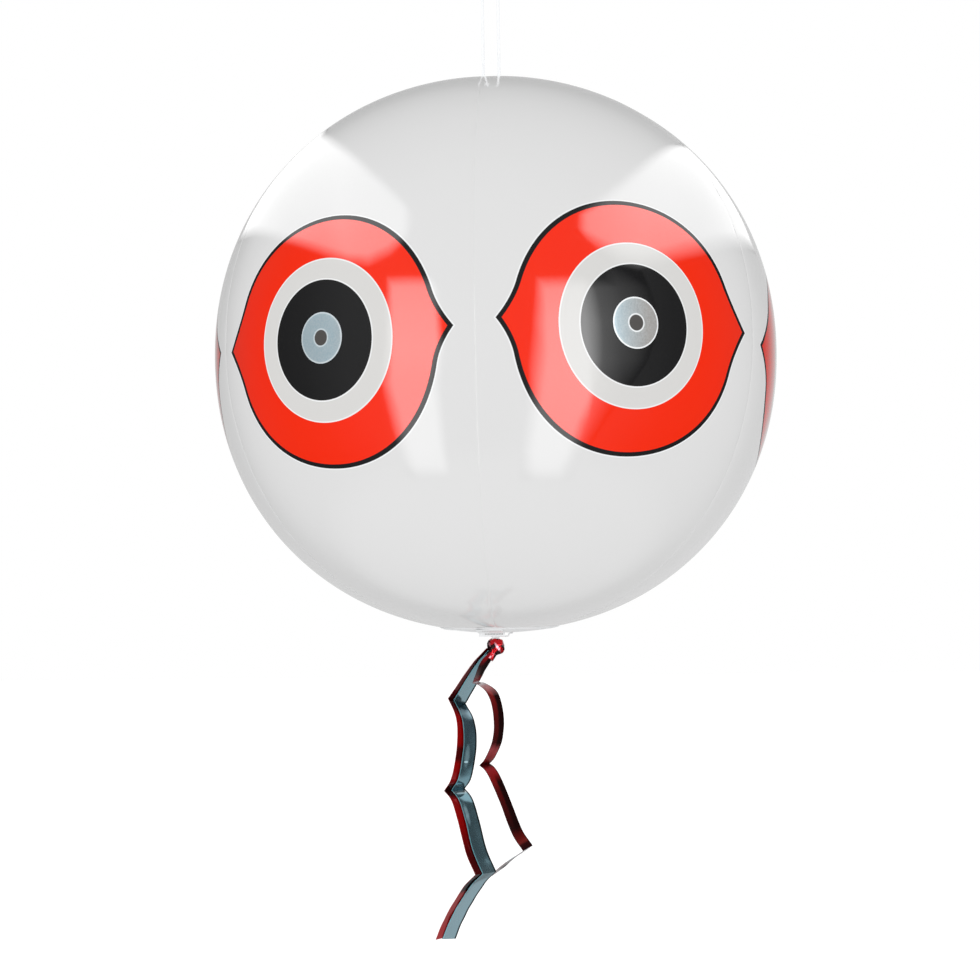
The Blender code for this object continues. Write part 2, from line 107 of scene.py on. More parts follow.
class Wire:
    # one node's output in an expression: an operator adds its Math node
    def __init__(self, graph, socket):
        self.graph = graph
        self.socket = socket

    def maths(self, operation, first, second=0.0, held=False):
        settings = {"operation": operation, "use_clamp": held}
        return self.graph.node("ShaderNodeMath", settings, {0: first, 1: second})

    def also(self, name):
        return Wire(self.graph, pick(self.socket.node.outputs, name))

    __add__, __radd__ = onTwo("ADD"), onTwo("ADD", True)
    __sub__, __rsub__ = onTwo("SUBTRACT"), onTwo("SUBTRACT", True)
    __mul__, __rmul__ = onTwo("MULTIPLY"), onTwo("MULTIPLY", True)
    __truediv__, __rtruediv__ = onTwo("DIVIDE"), onTwo("DIVIDE", True)
    __pow__, __gt__, __abs__ = onTwo("POWER"), onTwo("GREATER_THAN"), onOne("ABSOLUTE")
    atLeast, atMost = onTwo("MAXIMUM"), onTwo("MINIMUM")
    sine, cosine, root, sign = onOne("SINE"), onOne("COSINE"), onOne("SQRT"), onOne("SIGN")

    def falling(self, width):
        # 1 at nothing, dying away over a width
        return self.maths("POWER", math.e, self * -1.0 / width)

    def clamped(self, highest=1.0):
        return self.atLeast(0.0).atMost(highest)

    def within(self, limit, soft=0.00012):
        # 1 where the value is under a limit, with a soft edge
        return self.maths("ADD", (limit - self) / soft, 0.5, held=True)


class Graph:
    # a node tree, and the one method that adds any node to it
    def __init__(self, tree, material=None):
        self.tree = tree
        self.material = material

    def node(self, kind, settings=None, sockets=None):
        made = self.tree.nodes.new(kind)
        for name, value in (settings or {}).items():
            if name == "stops":
                ramp = made.color_ramp
                while len(ramp.elements) < len(value):
                    ramp.elements.new(0.5)
                for stop, (place, colour) in zip(ramp.elements, value):
                    stop.position = place
                    stop.color = colour
            else:
                setattr(made, name, value)
        for key, value in (sockets or {}).items():
            socket = pick(made.inputs, key)
            if isinstance(value, Wire):
                self.tree.links.new(value.socket, socket)
            else:
                socket.default_value = value
        found = [socket for socket in made.outputs if socket.enabled]
        return Wire(self, found[0]) if found else None

    def split(self, vector):
        apart = self.node("ShaderNodeSeparateXYZ", {}, {0: vector})
        return apart, apart.also("Y"), apart.also("Z")

    def join(self, x, y, z):
        return self.node("ShaderNodeCombineXYZ", {}, {0: x, 1: y, 2: z})

    def place(self):
        return self.node("ShaderNodeTexCoord").also("Object")

    def stored(self, name, output="Vector"):
        return self.node("ShaderNodeAttribute", {"attribute_name": name}).also(output)

    def blend(self, share, first, second):
        # two colours by a share
        colours = {"Factor_Float": share, "A_Color": first, "B_Color": second}
        return self.node("ShaderNodeMix", {"data_type": "RGBA"}, colours)

    def ramp(self, stops, share):
        return self.node("ShaderNodeValToRGB", {"stops": stops}, {0: share})

    def grain(self, place, scale, detail=2.0, roughness=0.5):
        sockets = {"Vector": place, "Scale": scale, "Detail": detail, "Roughness": roughness}
        return self.node("ShaderNodeTexNoise", {}, sockets)

    def bump(self, height, strength, distance):
        return self.node("ShaderNodeBump", {}, {"Height": height, "Strength": strength, "Distance": distance})

    def shining(self, strength):
        return self.node("ShaderNodeEmission", {}, {"Color": (1, 1, 1, 1), "Strength": strength})

    def finished(self, shader):
        self.node("ShaderNodeOutputMaterial", {}, {"Surface": shader})
        return self.material

    def surface(self, **sockets):
        names = {"base": "Base Color", "coat": "Coat Weight", "coatRoughness": "Coat Roughness",
                 "coatIor": "Coat IOR", "ior": "IOR"}
        values = {names.get(name, name.capitalize()): value for name, value in sockets.items()}
        return self.finished(self.node("ShaderNodeBsdfPrincipled", {}, values))


def newMaterial(name):
    made = bpy.data.materials.new(name)
    made.use_nodes = True
    made.node_tree.nodes.clear()
    return Graph(made.node_tree, made)


def rgb(red, green, blue):
    # a colour as seen on a screen, 0 to 255, for a shader
    shares = [value / 255 for value in (red, green, blue)]
    return (*(share / 12.92 if share <= 0.04045 else ((share + 0.055) / 1.055) ** 2.4 for share in shares), 1)


# Materials

printLook = {
    "white": rgb(226, 226, 226), "shade": rgb(223, 223, 223), "black": rgb(33, 33, 34), "red": rgb(255, 38, 0),
    "warmRed": rgb(252, 46, 8), "ring": rgb(217, 216, 214), "bare": rgb(246, 248, 249),
    "weld": rgb(236, 236, 236), "roughness": 0.07, "inkRoughness": 0.09, "bareWidth": 0.0004, "bareShow": 0.8,
    "weldWidth": 0.0006, "weldHighlightShow": 0.05, "ragged": 0.00012, "clouds": 9.0, "redClouds": 26.0, "skin": 420.0,
    "slack": 16.0, "gathers": 95.0, "gatherWidth": 0.006,
}


def printedFilm(look):
    # white inflated vinyl with an eye printed on it
    # "film" holds metres from the eye's middle, and to the seam
    graph = newMaterial("printedFilm")
    x, y, seam = graph.split(graph.stored("film"))
    place = graph.place()
    outward, upward = x > 0.0, y > 0.0

    def sided(name, side):
        low, high = eye[name]
        return low + (high - low) * side

    def distance(aside, above):
        return ((x - aside) * (x - aside) + (y - above) * (y - above)).root()

    # how far a point is inside the eye's outer edge: an oval, drawn out to a tip on each side
    across, up = x / sided("wide", outward), (y + eye["fieldDrop"]) / sided("tall", upward)
    oval = (across ** 2.0 + up ** 2.0).root().atLeast(0.001)
    reach = distance(0.0, -eye["fieldDrop"])
    tip, tipWidth = sided("tip", outward), sided("tipWidth", outward)
    point = (1.0 - abs(y - sided("tipHeight", outward)) / tipWidth).atLeast(0.0)
    steep = tip * point / tipWidth * 2.0
    edge = (reach - reach / oval - tip * point * point) / (1.0 + steep * steep).root()
    ragged = (graph.grain(place, 900.0, 1.0) - 0.5) * look["ragged"]  # the ink's edge isn't quite clean
    edge = edge + ragged

    redMask = edge.within(0.0)
    ringMask = (distance(*eye["ringPlace"]) + ragged).within(eye["whiteRing"])
    discMask = (distance(*eye["discPlace"]) + ragged).within(eye["blackDisc"])
    inkMask = (redMask - ringMask + discMask).clamped()  # these inks are glossier than the film

    def bareLine(gap):
        # clean film shows as a fine bright line beside an ink's edge
        return abs(gap - look["bareWidth"] * 1.2).within(look["bareWidth"], 0.0003)

    # the weld: a rougher band along the seam; its lighter colour is a faint painted highlight
    weld = seam.within(look["weldWidth"], 0.0005)
    white = graph.blend(graph.grain(place, look["clouds"]), look["white"], look["shade"])
    white = graph.blend(weld * look["weldHighlightShow"], white, look["weld"])
    white = graph.blend(bareLine(edge - eye["outline"]) * look["bareShow"], white, look["bare"])
    colour = graph.blend(edge.within(eye["outline"]), white, look["black"])
    red = graph.blend(graph.grain(place, look["redClouds"]), look["red"], look["warmRed"])
    colour = graph.blend(redMask, colour, red)
    gaps = (eye["whiteRing"] - distance(*eye["ringPlace"]), distance(*eye["discPlace"]) - eye["blackDisc"])
    bare = (bareLine(gaps[0]) + bareLine(gaps[1])).atMost(1.0) * look["bareShow"]
    colour = graph.blend(ringMask, colour, graph.blend(bare, look["ring"], look["bare"]))
    colour = graph.blend(discMask, colour, look["black"])

    skin = graph.grain(place, look["skin"])
    slack = graph.grain(place, look["slack"], 1.0)  # faint unevenness of the stretched film
    gather = graph.grain(place, look["gathers"], 1.0) * seam.falling(look["gatherWidth"])
    normal = graph.bump(skin * 0.05 + slack * 0.5 + gather * 0.5 + inkMask * 0.04, 0.25, 0.0006)
    inkDull = look["inkRoughness"] - look["roughness"]
    rough = look["roughness"] + inkDull * inkMask + skin * 0.03 + weld * 0.1
    return graph.surface(base=colour, roughness=rough, normal=normal, ior=1.53,
                         coat=inkMask, coatRoughness=0.05, coatIor=1.6)


def cloudedVinyl(name, dull, pale, look):
    # plain vinyl: a faint cloud in its colour, and a fine grain
    graph = newMaterial(name)
    place = graph.place()
    cloud = graph.grain(place, look["cloud"])
    grain = graph.grain(place, look["grain"], look["detail"])
    rough = look["roughness"] + (grain if look["grainDulls"] else cloud) * look["dulls"]
    normal = graph.bump(grain, look["bump"], look["depth"])
    return graph.surface(base=graph.blend(cloud, dull, pale), roughness=rough, normal=normal, ior=look["ior"])


# thicker vinyl, welded over the white film; and a soft milky moulding with its tool's spark finish
weldedLook = {"cloud": 60.0, "grain": 260.0, "detail": 3.0, "roughness": 0.30, "dulls": 0.08,
              "grainDulls": False, "bump": 0.2, "depth": 0.0004, "ior": 1.45}
mouldedLook = {"cloud": 90.0, "grain": 2600.0, "detail": 2.0, "roughness": 0.26, "dulls": 0.12,
               "grainDulls": True, "bump": 0.15, "depth": 0.0002, "ior": 1.52}
pupilLook = {
    "warm": rgb(188, 184, 180), "cool": rgb(184, 210, 221), "mottle": rgb(236, 240, 242),
    "rim": rgb(250, 253, 254), "dot": rgb(78, 75, 73), "line": 0.00045, "metal": 0.5, "roughness": 0.26,
}


def pupilFoil(look):
    # silver film stuck on the print, finely mottled, with a bright rim and a dark dot in a bright ring
    graph = newMaterial("pupilFoil")
    x, y, tint = graph.split(graph.stored("film"))
    reach = (x * x + y * y).root()
    mottle = graph.grain(graph.place(), 900.0, 3.0, 0.65)
    rim = abs(reach - eye["foil"] + 0.0005).within(look["line"], 0.0003)
    ring = abs(reach - eye["dot"] - 0.0005).within(look["line"], 0.0003)
    bright = rim.atLeast(ring * 0.9) * (1.0 - tint * 0.5)
    dot = reach.within(eye["dot"])
    # warm grey to blue-grey by each pupil's tint and across the disc: a painted reflection in the foil's colour
    plain = graph.blend((tint + 0.35 - x * 40.0).clamped(), look["warm"], look["cool"])
    colour = graph.blend((mottle - 0.3).clamped(0.4), plain, look["mottle"])
    colour = graph.blend(dot, graph.blend(bright, colour, look["rim"]), look["dot"])
    metal = (look["metal"] - bright * 0.4) * (1.0 - dot)
    rough = look["roughness"] + mottle * 0.12
    return graph.surface(base=colour, metallic=metal, roughness=rough, normal=graph.bump(mottle, 0.3, 0.0002))


lineLook = {"core": rgb(252, 253, 254), "cloud": rgb(247, 249, 251), "edge": rgb(138, 160, 178),
            "clouds": 40.0, "edgeShadePower": 4.0, "roughness": 0.2, "ior": 1.3}


def nylonLine(look):
    # clear line: nearly white along its middle, with a thin blue-grey edge of painted shade, stronger where the
    # line turns away from the view
    graph = newMaterial("nylonLine")
    cloud = graph.grain(graph.place(), look["clouds"])
    facing = graph.node("ShaderNodeLayerWeight", {}, {"Blend": 0.5}).also("Facing")
    core = graph.blend(cloud, look["core"], look["cloud"])
    colour = graph.blend((facing ** look["edgeShadePower"]).atMost(1.0), core, look["edge"])
    return graph.surface(base=colour, roughness=look["roughness"] + cloud * 0.05, ior=look["ior"])


knotLook = {
    "bright": rgb(206, 3, 22), "dark": rgb(44, 0, 5), "pale": rgb(255, 190, 205), "facets": 290.0,
    "shadedShare": 0.42, "shadedSoft": 0.12, "metal": 0.55, "roughness": 0.12, "highlightBelow": 0.0062,
    "highlightShare": 0.52, "highlightSoft": 0.05, "highlightGrain": 420.0,
    # painted highlights, pale glints: aside and up from the knot's middle, turn, half length, half width,
    # strength
    "glints": ((0.0016, -0.0004, -1.01, 0.0044, 0.0010, 1.4), (-0.0042, 0.0016, -1.2, 0.0022, 0.0010, 0.5),
               (0.0060, 0.0020, 1.2, 0.0022, 0.0008, 0.6), (-0.0010, -0.0052, -0.4, 0.0018, 0.0006, 0.4)),
}


def crumpledFoil(look, middle):
    # red metallised film: facets painted bright or dark as if lit and shaded, with painted highlights as pale
    # streaks and glints
    graph = newMaterial("crumpledFoil")
    place = graph.place()
    x, z = graph.split(place)[::2]
    aside, up = x - middle.x, z - middle.z
    facet = graph.node("ShaderNodeTexVoronoi", {}, {"Vector": place, "Scale": look["facets"]}).also("Color")
    chance = graph.split(facet)[0]
    # painted shade: facets picked at random are darkened
    dark = ((chance - look["shadedShare"]) / look["shadedSoft"]).clamped()
    colour = graph.blend(dark, look["bright"], look["dark"])
    # painted highlights: pale streaks on the knot's lower part, and the listed glints
    paleHighlight = (graph.grain(place, look["highlightGrain"], 1.0) - look["highlightShare"]) / look["highlightSoft"]
    paleHighlight = paleHighlight * ((-look["highlightBelow"] - up) / 0.001).clamped()
    for across, high, turn, long, wide, strength in look["glints"]:
        lean, rise = math.cos(turn), math.sin(turn)
        ahead = ((aside - across) * lean + (up - high) * rise) / long
        beside = ((up - high) * lean - (aside - across) * rise) / wide
        paleHighlight = paleHighlight.atLeast((1.0 - ahead ** 2.0 - beside ** 2.0) * strength)
    colour = graph.blend(paleHighlight.clamped(0.9), colour, look["pale"])
    normal = graph.bump(chance * 0.5 + graph.grain(place, 300.0, 1.0) * 0.3, 0.2, 0.0005)
    rough = look["roughness"] + graph.grain(place, 70.0, 3.0) * 0.06
    return graph.surface(base=colour, metallic=look["metal"], roughness=rough, normal=normal)


stretches = 4  # of each ribbon, between its creases
ribbonFinish = {"drift": 0.012, "driftScale": 60.0, "ripple": 45.0, "highlightMottle": 240.0, "highlightShow": 0.85,
                "glintShow": 0.8, "edgeSoft": 0.12, "shineSoft": 0.06, "waveSoft": 0.35, "roughness": 0.11}


def ribbonFoil(name, look):
    # thin metallised film, its reflections painted into its colour
    # "lay" holds the place across the ribbon (-1 to 1), metres along it, and the stretch with its share
    graph = newMaterial(name)
    across, stretch = graph.split(graph.stored("lay"))[::2]
    place = graph.place()
    shared = ribbonFinish
    drift = graph.grain(place, shared["driftScale"])
    # the colour along each ribbon: the foil's own colour with painted reflections, light and dark bands and
    # white glint lines
    stops = [(at / stretches, rgb(*colour)) for at, colour in look["toneAndReflection"]]
    colour = graph.ramp(stops, stretch / stretches + (drift - 0.5) * shared["drift"])
    metal = look["metal"]
    for aside, at, wide, long, strength in look.get("paleHighlights", ()):  # painted highlights: soft pale patches and glint lines
        # each dent here is a painted highlight, paler and less metallic
        off = ((across - aside) / wide) ** 2.0 + ((stretch - at) / long) ** 2.0
        mottle = graph.grain(place, shared["highlightMottle"], 1.0) + 0.5
        dent = ((1.0 - off) * strength * mottle).clamped(shared["highlightShow"])
        colour = graph.blend(dent, colour, look["pale"])
        metal = metal - dent * 0.8
    if "darkHalf" in look:
        # painted shade over the wine ribbon's right part, fading out at the creases
        wave = (stretch * math.pi).sine()  # nothing at the creases
        zone = ((wave * wave - 0.25) / 0.3).clamped()
        dark = (1.0 - across).within(look["darkHalf"], shared["waveSoft"])
        colour = graph.blend(dark * zone, colour, look["shade"])
    edge = (1.0 - across).within(look["darkEdge"], shared["edgeSoft"])  # painted shade along the right edge, as the curled edge would mirror the dark
    # a painted highlight along the left edge, with less metal there
    shine = (1.0 + across).within(look["lightEdge"], shared["shineSoft"])
    colour = graph.blend(shine * shared["glintShow"], graph.blend(edge, colour, look["shade"]), look["glint"])
    metal = (metal - shine * 0.5).atLeast(0.0)
    normal = graph.bump(graph.grain(place, shared["ripple"], 1.0), 0.30, 0.0010)
    rough = shared["roughness"] + drift * 0.06
    return graph.surface(base=colour, metallic=metal, roughness=rough, normal=normal)


silverLook = {
    "toneAndReflection": [(0.0, (140, 205, 225)), (0.55, (172, 208, 220)), (0.98, (178, 210, 220)), (1.0, (76, 116, 132)),
              (1.08, (70, 110, 126)), (1.10, (156, 188, 208)), (1.5, (150, 196, 212)), (2.02, (154, 198, 212)),
              (2.03, (246, 250, 252)), (2.06, (246, 250, 252)), (2.07, (154, 198, 212)), (2.9, (156, 198, 212)),
              (3.05, (183, 217, 229)), (4.0, (183, 217, 229))],
    "paleHighlights": ((0.2, 1.16, 1.6, 0.07, 0.5), (-0.25, 1.60, 0.5, 0.14, 0.4), (-0.3, 1.655, 0.35, 0.012, 2.0),
              (-0.5, 2.34, 0.4, 0.14, 0.45), (0.1, 2.075, 0.9, 0.018, 4.0)),
    "metal": 0.90, "darkEdge": 0.20, "lightEdge": 0.10, "shade": rgb(22, 30, 36), "glint": rgb(130, 205, 218),
    "pale": rgb(196, 226, 234),
}
redLook = {
    "toneAndReflection": [(0.0, (96, 5, 9)), (0.85, (92, 3, 6)), (1.0, (60, 3, 6)), (1.12, (110, 3, 6)), (1.2, (190, 2, 3)),
              (1.48, (186, 2, 3)), (1.53, (100, 3, 4)), (1.63, (100, 3, 4)), (1.68, (190, 3, 4)),
              (1.85, (160, 10, 14)), (1.93, (66, 8, 10)), (2.08, (66, 6, 8)), (2.15, (170, 20, 24)),
              (2.4, (186, 2, 2)), (2.75, (96, 2, 4)), (3.0, (90, 5, 8)), (3.3, (34, 3, 5)),
              (3.36, (158, 36, 38)), (4.0, (176, 46, 48))],
    "metal": 0.40, "darkEdge": 0.10, "lightEdge": 0.04, "shade": rgb(30, 4, 8), "glint": rgb(170, 60, 66),
}
wineLook = {
    "toneAndReflection": [(0.0, (190, 16, 34)), (0.3, (150, 8, 20)), (0.5, (58, 8, 10)), (0.75, (76, 10, 14)),
              (0.95, (150, 30, 40)), (1.0, (220, 216, 220)), (1.07, (220, 212, 216)), (1.13, (190, 110, 112)),
              (1.22, (150, 34, 32)), (1.37, (128, 14, 14)), (1.5, (104, 10, 10)), (1.74, (84, 8, 8)),
              (1.80, (188, 78, 84)), (1.93, (150, 44, 44)), (1.99, (90, 12, 16)), (2.04, (90, 12, 14)),
              (2.10, (186, 44, 50)), (2.22, (158, 22, 22)), (2.36, (104, 8, 8)), (2.75, (46, 5, 5)),
              (2.86, (116, 18, 16)), (2.91, (140, 40, 36)), (2.94, (60, 8, 10)), (3.0, (50, 6, 8)),
              (3.02, (220, 216, 226)), (3.25, (214, 206, 216)), (3.4, (180, 122, 132)), (3.8, (176, 116, 126)),
              (4.0, (130, 40, 50))],
    "metal": 0.40, "darkEdge": 0.12, "darkHalf": 0.95, "lightEdge": 0.08, "shade": rgb(40, 6, 6),
    "glint": rgb(60, 14, 22),
}

filmMaterial = printedFilm(printLook)
vinylMaterial = cloudedVinyl("clearVinyl", rgb(228, 229, 230), rgb(236, 237, 238), weldedLook)
tabMaterial = cloudedVinyl("tabVinyl", rgb(240, 241, 242), rgb(248, 249, 250), weldedLook)
# grey vinyl for the tab's small ribs: painted shade, darker than the tab they stand on
shadedRibMaterial = cloudedVinyl("shadedRibVinyl", rgb(186, 186, 186), rgb(196, 196, 196), weldedLook)
mouldMaterial = cloudedVinyl("mouldedVinyl", rgb(224, 229, 232), rgb(233, 237, 239), mouldedLook)
pupilMaterial = pupilFoil(pupilLook)
nylonMaterial = nylonLine(lineLook)
silverMaterial = ribbonFoil("silverRibbon", silverLook)
redMaterial = ribbonFoil("redRibbon", redLook)
wineMaterial = ribbonFoil("wineRibbon", wineLook)
print("materials made")


# Camera, set from the photograph

def newObject(name, data):
    made = bpy.data.objects.new(name, data)
    bpy.context.scene.collection.objects.link(made)
    return made


shot = {
    "place": (0.059, -0.97974, -0.46881),
    "forward": (-0.06545, 0.9956, 0.06769),
    "up": (0.01898, -0.06537, 0.99768),
    "lens": 50.03,
    "sensor": 36.0,
}
lookForward = Vector(shot["forward"]).normalized()
lookRight = lookForward.cross(Vector(shot["up"])).normalized()
lookTurn = Matrix((lookRight, lookRight.cross(lookForward), -lookForward)).transposed().to_4x4()
camera = newObject("camera", bpy.data.cameras.new("camera"))
camera.data.lens = shot["lens"]
camera.data.sensor_width = shot["sensor"]
camera.data.clip_start = 0.01
camera.matrix_world = Matrix.Translation(shot["place"]) @ lookTurn
bpy.context.scene.camera = camera
print("camera set")


# Ball shape and mesh helpers

def meridian(angle, proud=0.0):
    # distance from the axis and height, at an angle above the middle
    power = ball["squareness"]
    across, upward = abs(math.cos(angle)), abs(math.sin(angle))
    reach = (across ** power + upward ** power) ** (-1 / power)
    out = (reach * across) ** (power - 1) / ball["radius"]
    up = (reach * upward) ** (power - 1) / ball["halfHeight"]
    size = math.hypot(out, up)
    radius = ball["radius"] * reach * across + proud * out / size
    height = ball["halfHeight"] * reach * upward + proud * up / size
    return radius, math.copysign(height, angle)


def angleAtRadius(radius):
    share = radius / ball["radius"]
    power = ball["squareness"]
    return math.atan2((1 - share ** power) ** (1 / power), share)


def angleAtHeight(height):
    share = abs(height) / ball["halfHeight"]
    power = ball["squareness"]
    return math.copysign(math.atan2(share, (1 - share ** power) ** (1 / power)), height)


def onBall(angle, turn, proud=0.0):
    radius, height = meridian(angle, proud)
    return ball["centre"] + Vector((math.sin(turn) * radius, -math.cos(turn) * radius, height))


def neighbours(points, index):
    # the points before and after one, or the one itself at an end
    return points[max(index - 1, 0)], points[min(index + 1, len(points) - 1)]


def smoothRoute(points, spacing):
    # a smooth curve through a route's own points, read at about equal spacing
    ends = [points[0] * 2 - points[1], *points, points[-1] * 2 - points[-2]]
    route = []
    for before, start, end, after in zip(ends, ends[1:], ends[2:], ends[3:]):
        steps = max(1, round((end - start).length / spacing))
        for step in range(steps):
            share = step / steps
            pull = (end - before) * share
            bend = (before * 2 - start * 5 + end * 4 - after) * share ** 2
            twist = (start * 3 - before - end * 3 + after) * share ** 3
            route.append(start + (pull + bend + twist) / 2)
    route.append(points[-1].copy())
    return route


def meshOf(name, cells, *materials, loose=True):
    if loose:
        bmesh.ops.recalc_face_normals(cells, faces=cells.faces)
    mesh = bpy.data.meshes.new(name)
    cells.to_mesh(mesh)
    cells.free()
    for material in materials:
        mesh.materials.append(material)
    return mesh


def settle(mesh, body, replaced=(), sharp=35.0):
    # a finished mesh as a piece that rides on its body
    mesh.shade_smooth()
    mesh.set_sharp_from_angle(angle=math.radians(sharp))
    piece = newObject(mesh.name, mesh)
    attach(piece, body)
    if replaced:
        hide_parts(*replaced)
    return piece


def loft(cells, rings, capped=False):
    # faces between rings of vertices; a ring of one vertex is a pole
    for low, high in zip(rings, rings[1:]):
        for step in range(max(len(low), len(high))):
            places = ((low, step), (low, step + 1), (high, step + 1), (high, step))
            corners = dict.fromkeys(ring[place % len(ring)] for ring, place in places)
            cells.faces.new(tuple(corners))
    if capped:
        cells.faces.new(rings[0][::-1])
        cells.faces.new(rings[-1])


def sheetFaces(cells, rows):
    # faces between rows of vertices that are open at their ends
    return [cells.faces.new(corners) for low, high in zip(rows, rows[1:])
            for corners in zip(low, low[1:], high[1:], high)]


def lathe(cells, profile, place, sides, ripple=None):
    # a profile of (radius, height), turned round the local upright axis and set by a matrix
    rings = []
    for radius, height in profile:
        ring = []
        for side in range(sides if radius else 1):
            turn = math.tau * side / sides
            wide = radius * (ripple(turn, height) if ripple else 1)
            ring.append(cells.verts.new(place @ Vector((wide * math.cos(turn), wide * math.sin(turn), height))))
        rings.append(ring)
    loft(cells, rings)
    bmesh.ops.remove_doubles(cells, verts=cells.verts, dist=1e-7)  # a profile may end where it starts


def tube(cells, route, radius, sides):
    # a round tube along a route, closed at both ends
    side = (route[1] - route[0]).orthogonal()
    rings = []
    for index, point in enumerate(route):
        before, after = neighbours(route, index)
        ahead = (after - before).normalized()
        side = (side - ahead * side.dot(ahead)).normalized()
        other = ahead.cross(side)
        turns = [math.tau * step / sides for step in range(sides)]
        rings.append([cells.verts.new(point + (side * math.cos(turn) + other * math.sin(turn)) * radius)
                      for turn in turns])
    loft(cells, rings, capped=True)


# Hanging cord, along the CAD's own route

cord = {
    "diameter": 0.002,
    "spacing": 0.0116,
    "low": -0.1048,  # under the strap
    "knotDrop": 0.0235,
    "knotLength": 0.0085,
    "wraps": 4,
    "wrapSteps": 24,
    "wrapReach": 1.8,  # the knot's sizes, in the line's own radius
    "wrapSize": 1.05,
    "coreSize": 1.2,
    "knotSides": 12,
    "sides": 16,
    # its two turns, in halves of the spacing
    "under": ((-1, 1.9), (-1, 1.2), (-0.97, 0.72), (-0.76, 0.25), (-0.36, 0.01), (0, 0), (0.36, 0.01),
              (0.76, 0.25), (0.97, 0.72), (1, 1.2), (1, 1.9)),
    "over": ((1, -0.45), (0.97, 0.25), (0.71, 0.71), (0.37, 0.93), (0, 1), (-0.37, 0.93), (-0.71, 0.71),
             (-0.97, 0.25), (-1, -0.45)),
}


def upright(height):
    return Vector((0, 0, height))


def makeCord():
    half = cord["spacing"] / 2
    radius = cord["diameter"] / 2
    middle = Vector((-half, 0, -cord["knotDrop"]))
    knotHalf = cord["knotLength"] / 2 + clearance
    points = [middle - upright(knotHalf)]
    points += [Vector((half * across, 0, cord["low"] + half * up)) for across, up in cord["under"]]
    points += [Vector((half * across, 0, radius - half + half * up)) for across, up in cord["over"]]
    points.append(middle + upright(knotHalf))
    route = smoothRoute(points, cord["diameter"] * 2.4)
    smooth = smoothRoute(route, cord["diameter"])
    cells = bmesh.new()
    tube(cells, smooth, radius, cord["sides"])
    piece = settle(meshOf("hangingCord", cells, nylonMaterial), "cord", ["hanging_cord"])
    # the knot: the line wound round both strands, and its two short ends
    body = cord["knotLength"] - cord["diameter"]
    steps = cord["wrapSteps"] * cord["wraps"]
    winding = []
    for step in range(steps + 1):
        turn = math.tau * cord["wraps"] * step / steps + math.pi
        aside = Vector((math.cos(turn), math.sin(turn), 0)) * radius * cord["wrapReach"]
        winding.append(middle + aside + upright(body * (step / steps - 0.5)))
    tags = [(-radius * 3.6, body / 2 + radius * 2.6), (-radius * 2.6, body / 2 + radius * 0.8)]
    low = [middle + Vector((across, 0, -up)) for across, up in tags]
    high = [middle + Vector((across, 0, up)) for across, up in tags[::-1]]
    cells = bmesh.new()
    tube(cells, smoothRoute(low + winding + high, 0.0006), radius * cord["wrapSize"], cord["knotSides"])
    coreEnd = upright(body / 2 + radius)
    tube(cells, [middle - coreEnd, middle, middle + coreEnd], radius * cord["coreSize"], cord["knotSides"])
    knot = settle(meshOf("cordKnot", cells, nylonMaterial), "cord", ["cord_knot"], 50.0)


makeCord()
print("cord made")


# Gores, from a tree that knows the ball's rule

film = {
    "thickness": 0.00025,
    "sizes": {"Columns": 44, "Rows": 150, "Flange": 0.003, "Seam dip": 0.0006, "Groove": 0.00016,
              "Groove width": 0.0008, "Pucker": 0.0005, "Pucker width": 0.011, "Pucker scale": 60.0},
}
valve = {
    "latitude": math.radians(52), "gore": 3, "flange": 0.020, "flangeThickness": 0.001, "collar": 0.0108,
    "collarRise": 0.0009, "stem": 0.0074, "bore": 0.0046, "stemLength": 0.0135, "lip": 0.0009, "plug": 0.0094,
    "plugCap": 0.0012, "plugPin": 0.005, "tongueWidth": 0.0036, "tongueReach": 0.0085, "sides": 72,
    "filmHole": 0.0098,
}


def newTree(name, inputs):
    # a geometry tree with a named input for each value, of the value's own kind
    kinds = {int: "Int", float: "Float", tuple: "Vector", bpy.types.Material: "Material"}
    tree = bpy.data.node_groups.new(name, "GeometryNodeTree")
    for label, value in inputs.items():
        tree.interface.new_socket(label, in_out="INPUT", socket_type="NodeSocket" + kinds[type(value)])
    tree.interface.new_socket("Geometry", in_out="OUTPUT", socket_type="NodeSocketGeometry")
    graph = Graph(tree)
    return graph, graph.node("NodeGroupInput").also


def endTree(graph, geometry, material):
    real = graph.node("GeometryNodeRealizeInstances", {}, {"Geometry": geometry})
    dressed = graph.node("GeometryNodeSetMaterial", {}, {"Geometry": real, "Material": material})
    graph.node("NodeGroupOutput", {}, {"Geometry": dressed})
    return graph.tree


def grown(name, tree, inputs, thickness=None):
    # the tree's result as a plain mesh
    holder = newObject(name + "Holder", bpy.data.meshes.new(name + "Holder"))
    modifier = holder.modifiers.new(name, "NODES")
    modifier.node_group = tree
    for socket in tree.interface.items_tree:
        if socket.in_out == "INPUT":
            modifier[socket.identifier] = inputs[socket.name]
    if thickness:
        wall = holder.modifiers.new("wall", "SOLIDIFY")
        wall.thickness = thickness
        wall.offset = -1
    bpy.context.view_layer.update()
    ready = bpy.context.evaluated_depsgraph_get()
    result = holder.evaluated_get(ready)
    mesh = bpy.data.meshes.new_from_object(result, preserve_all_data_layers=True, depsgraph=ready)
    mesh.name = name
    holder.modifiers.clear()
    bpy.data.objects.remove(holder, do_unlink=True)
    return mesh


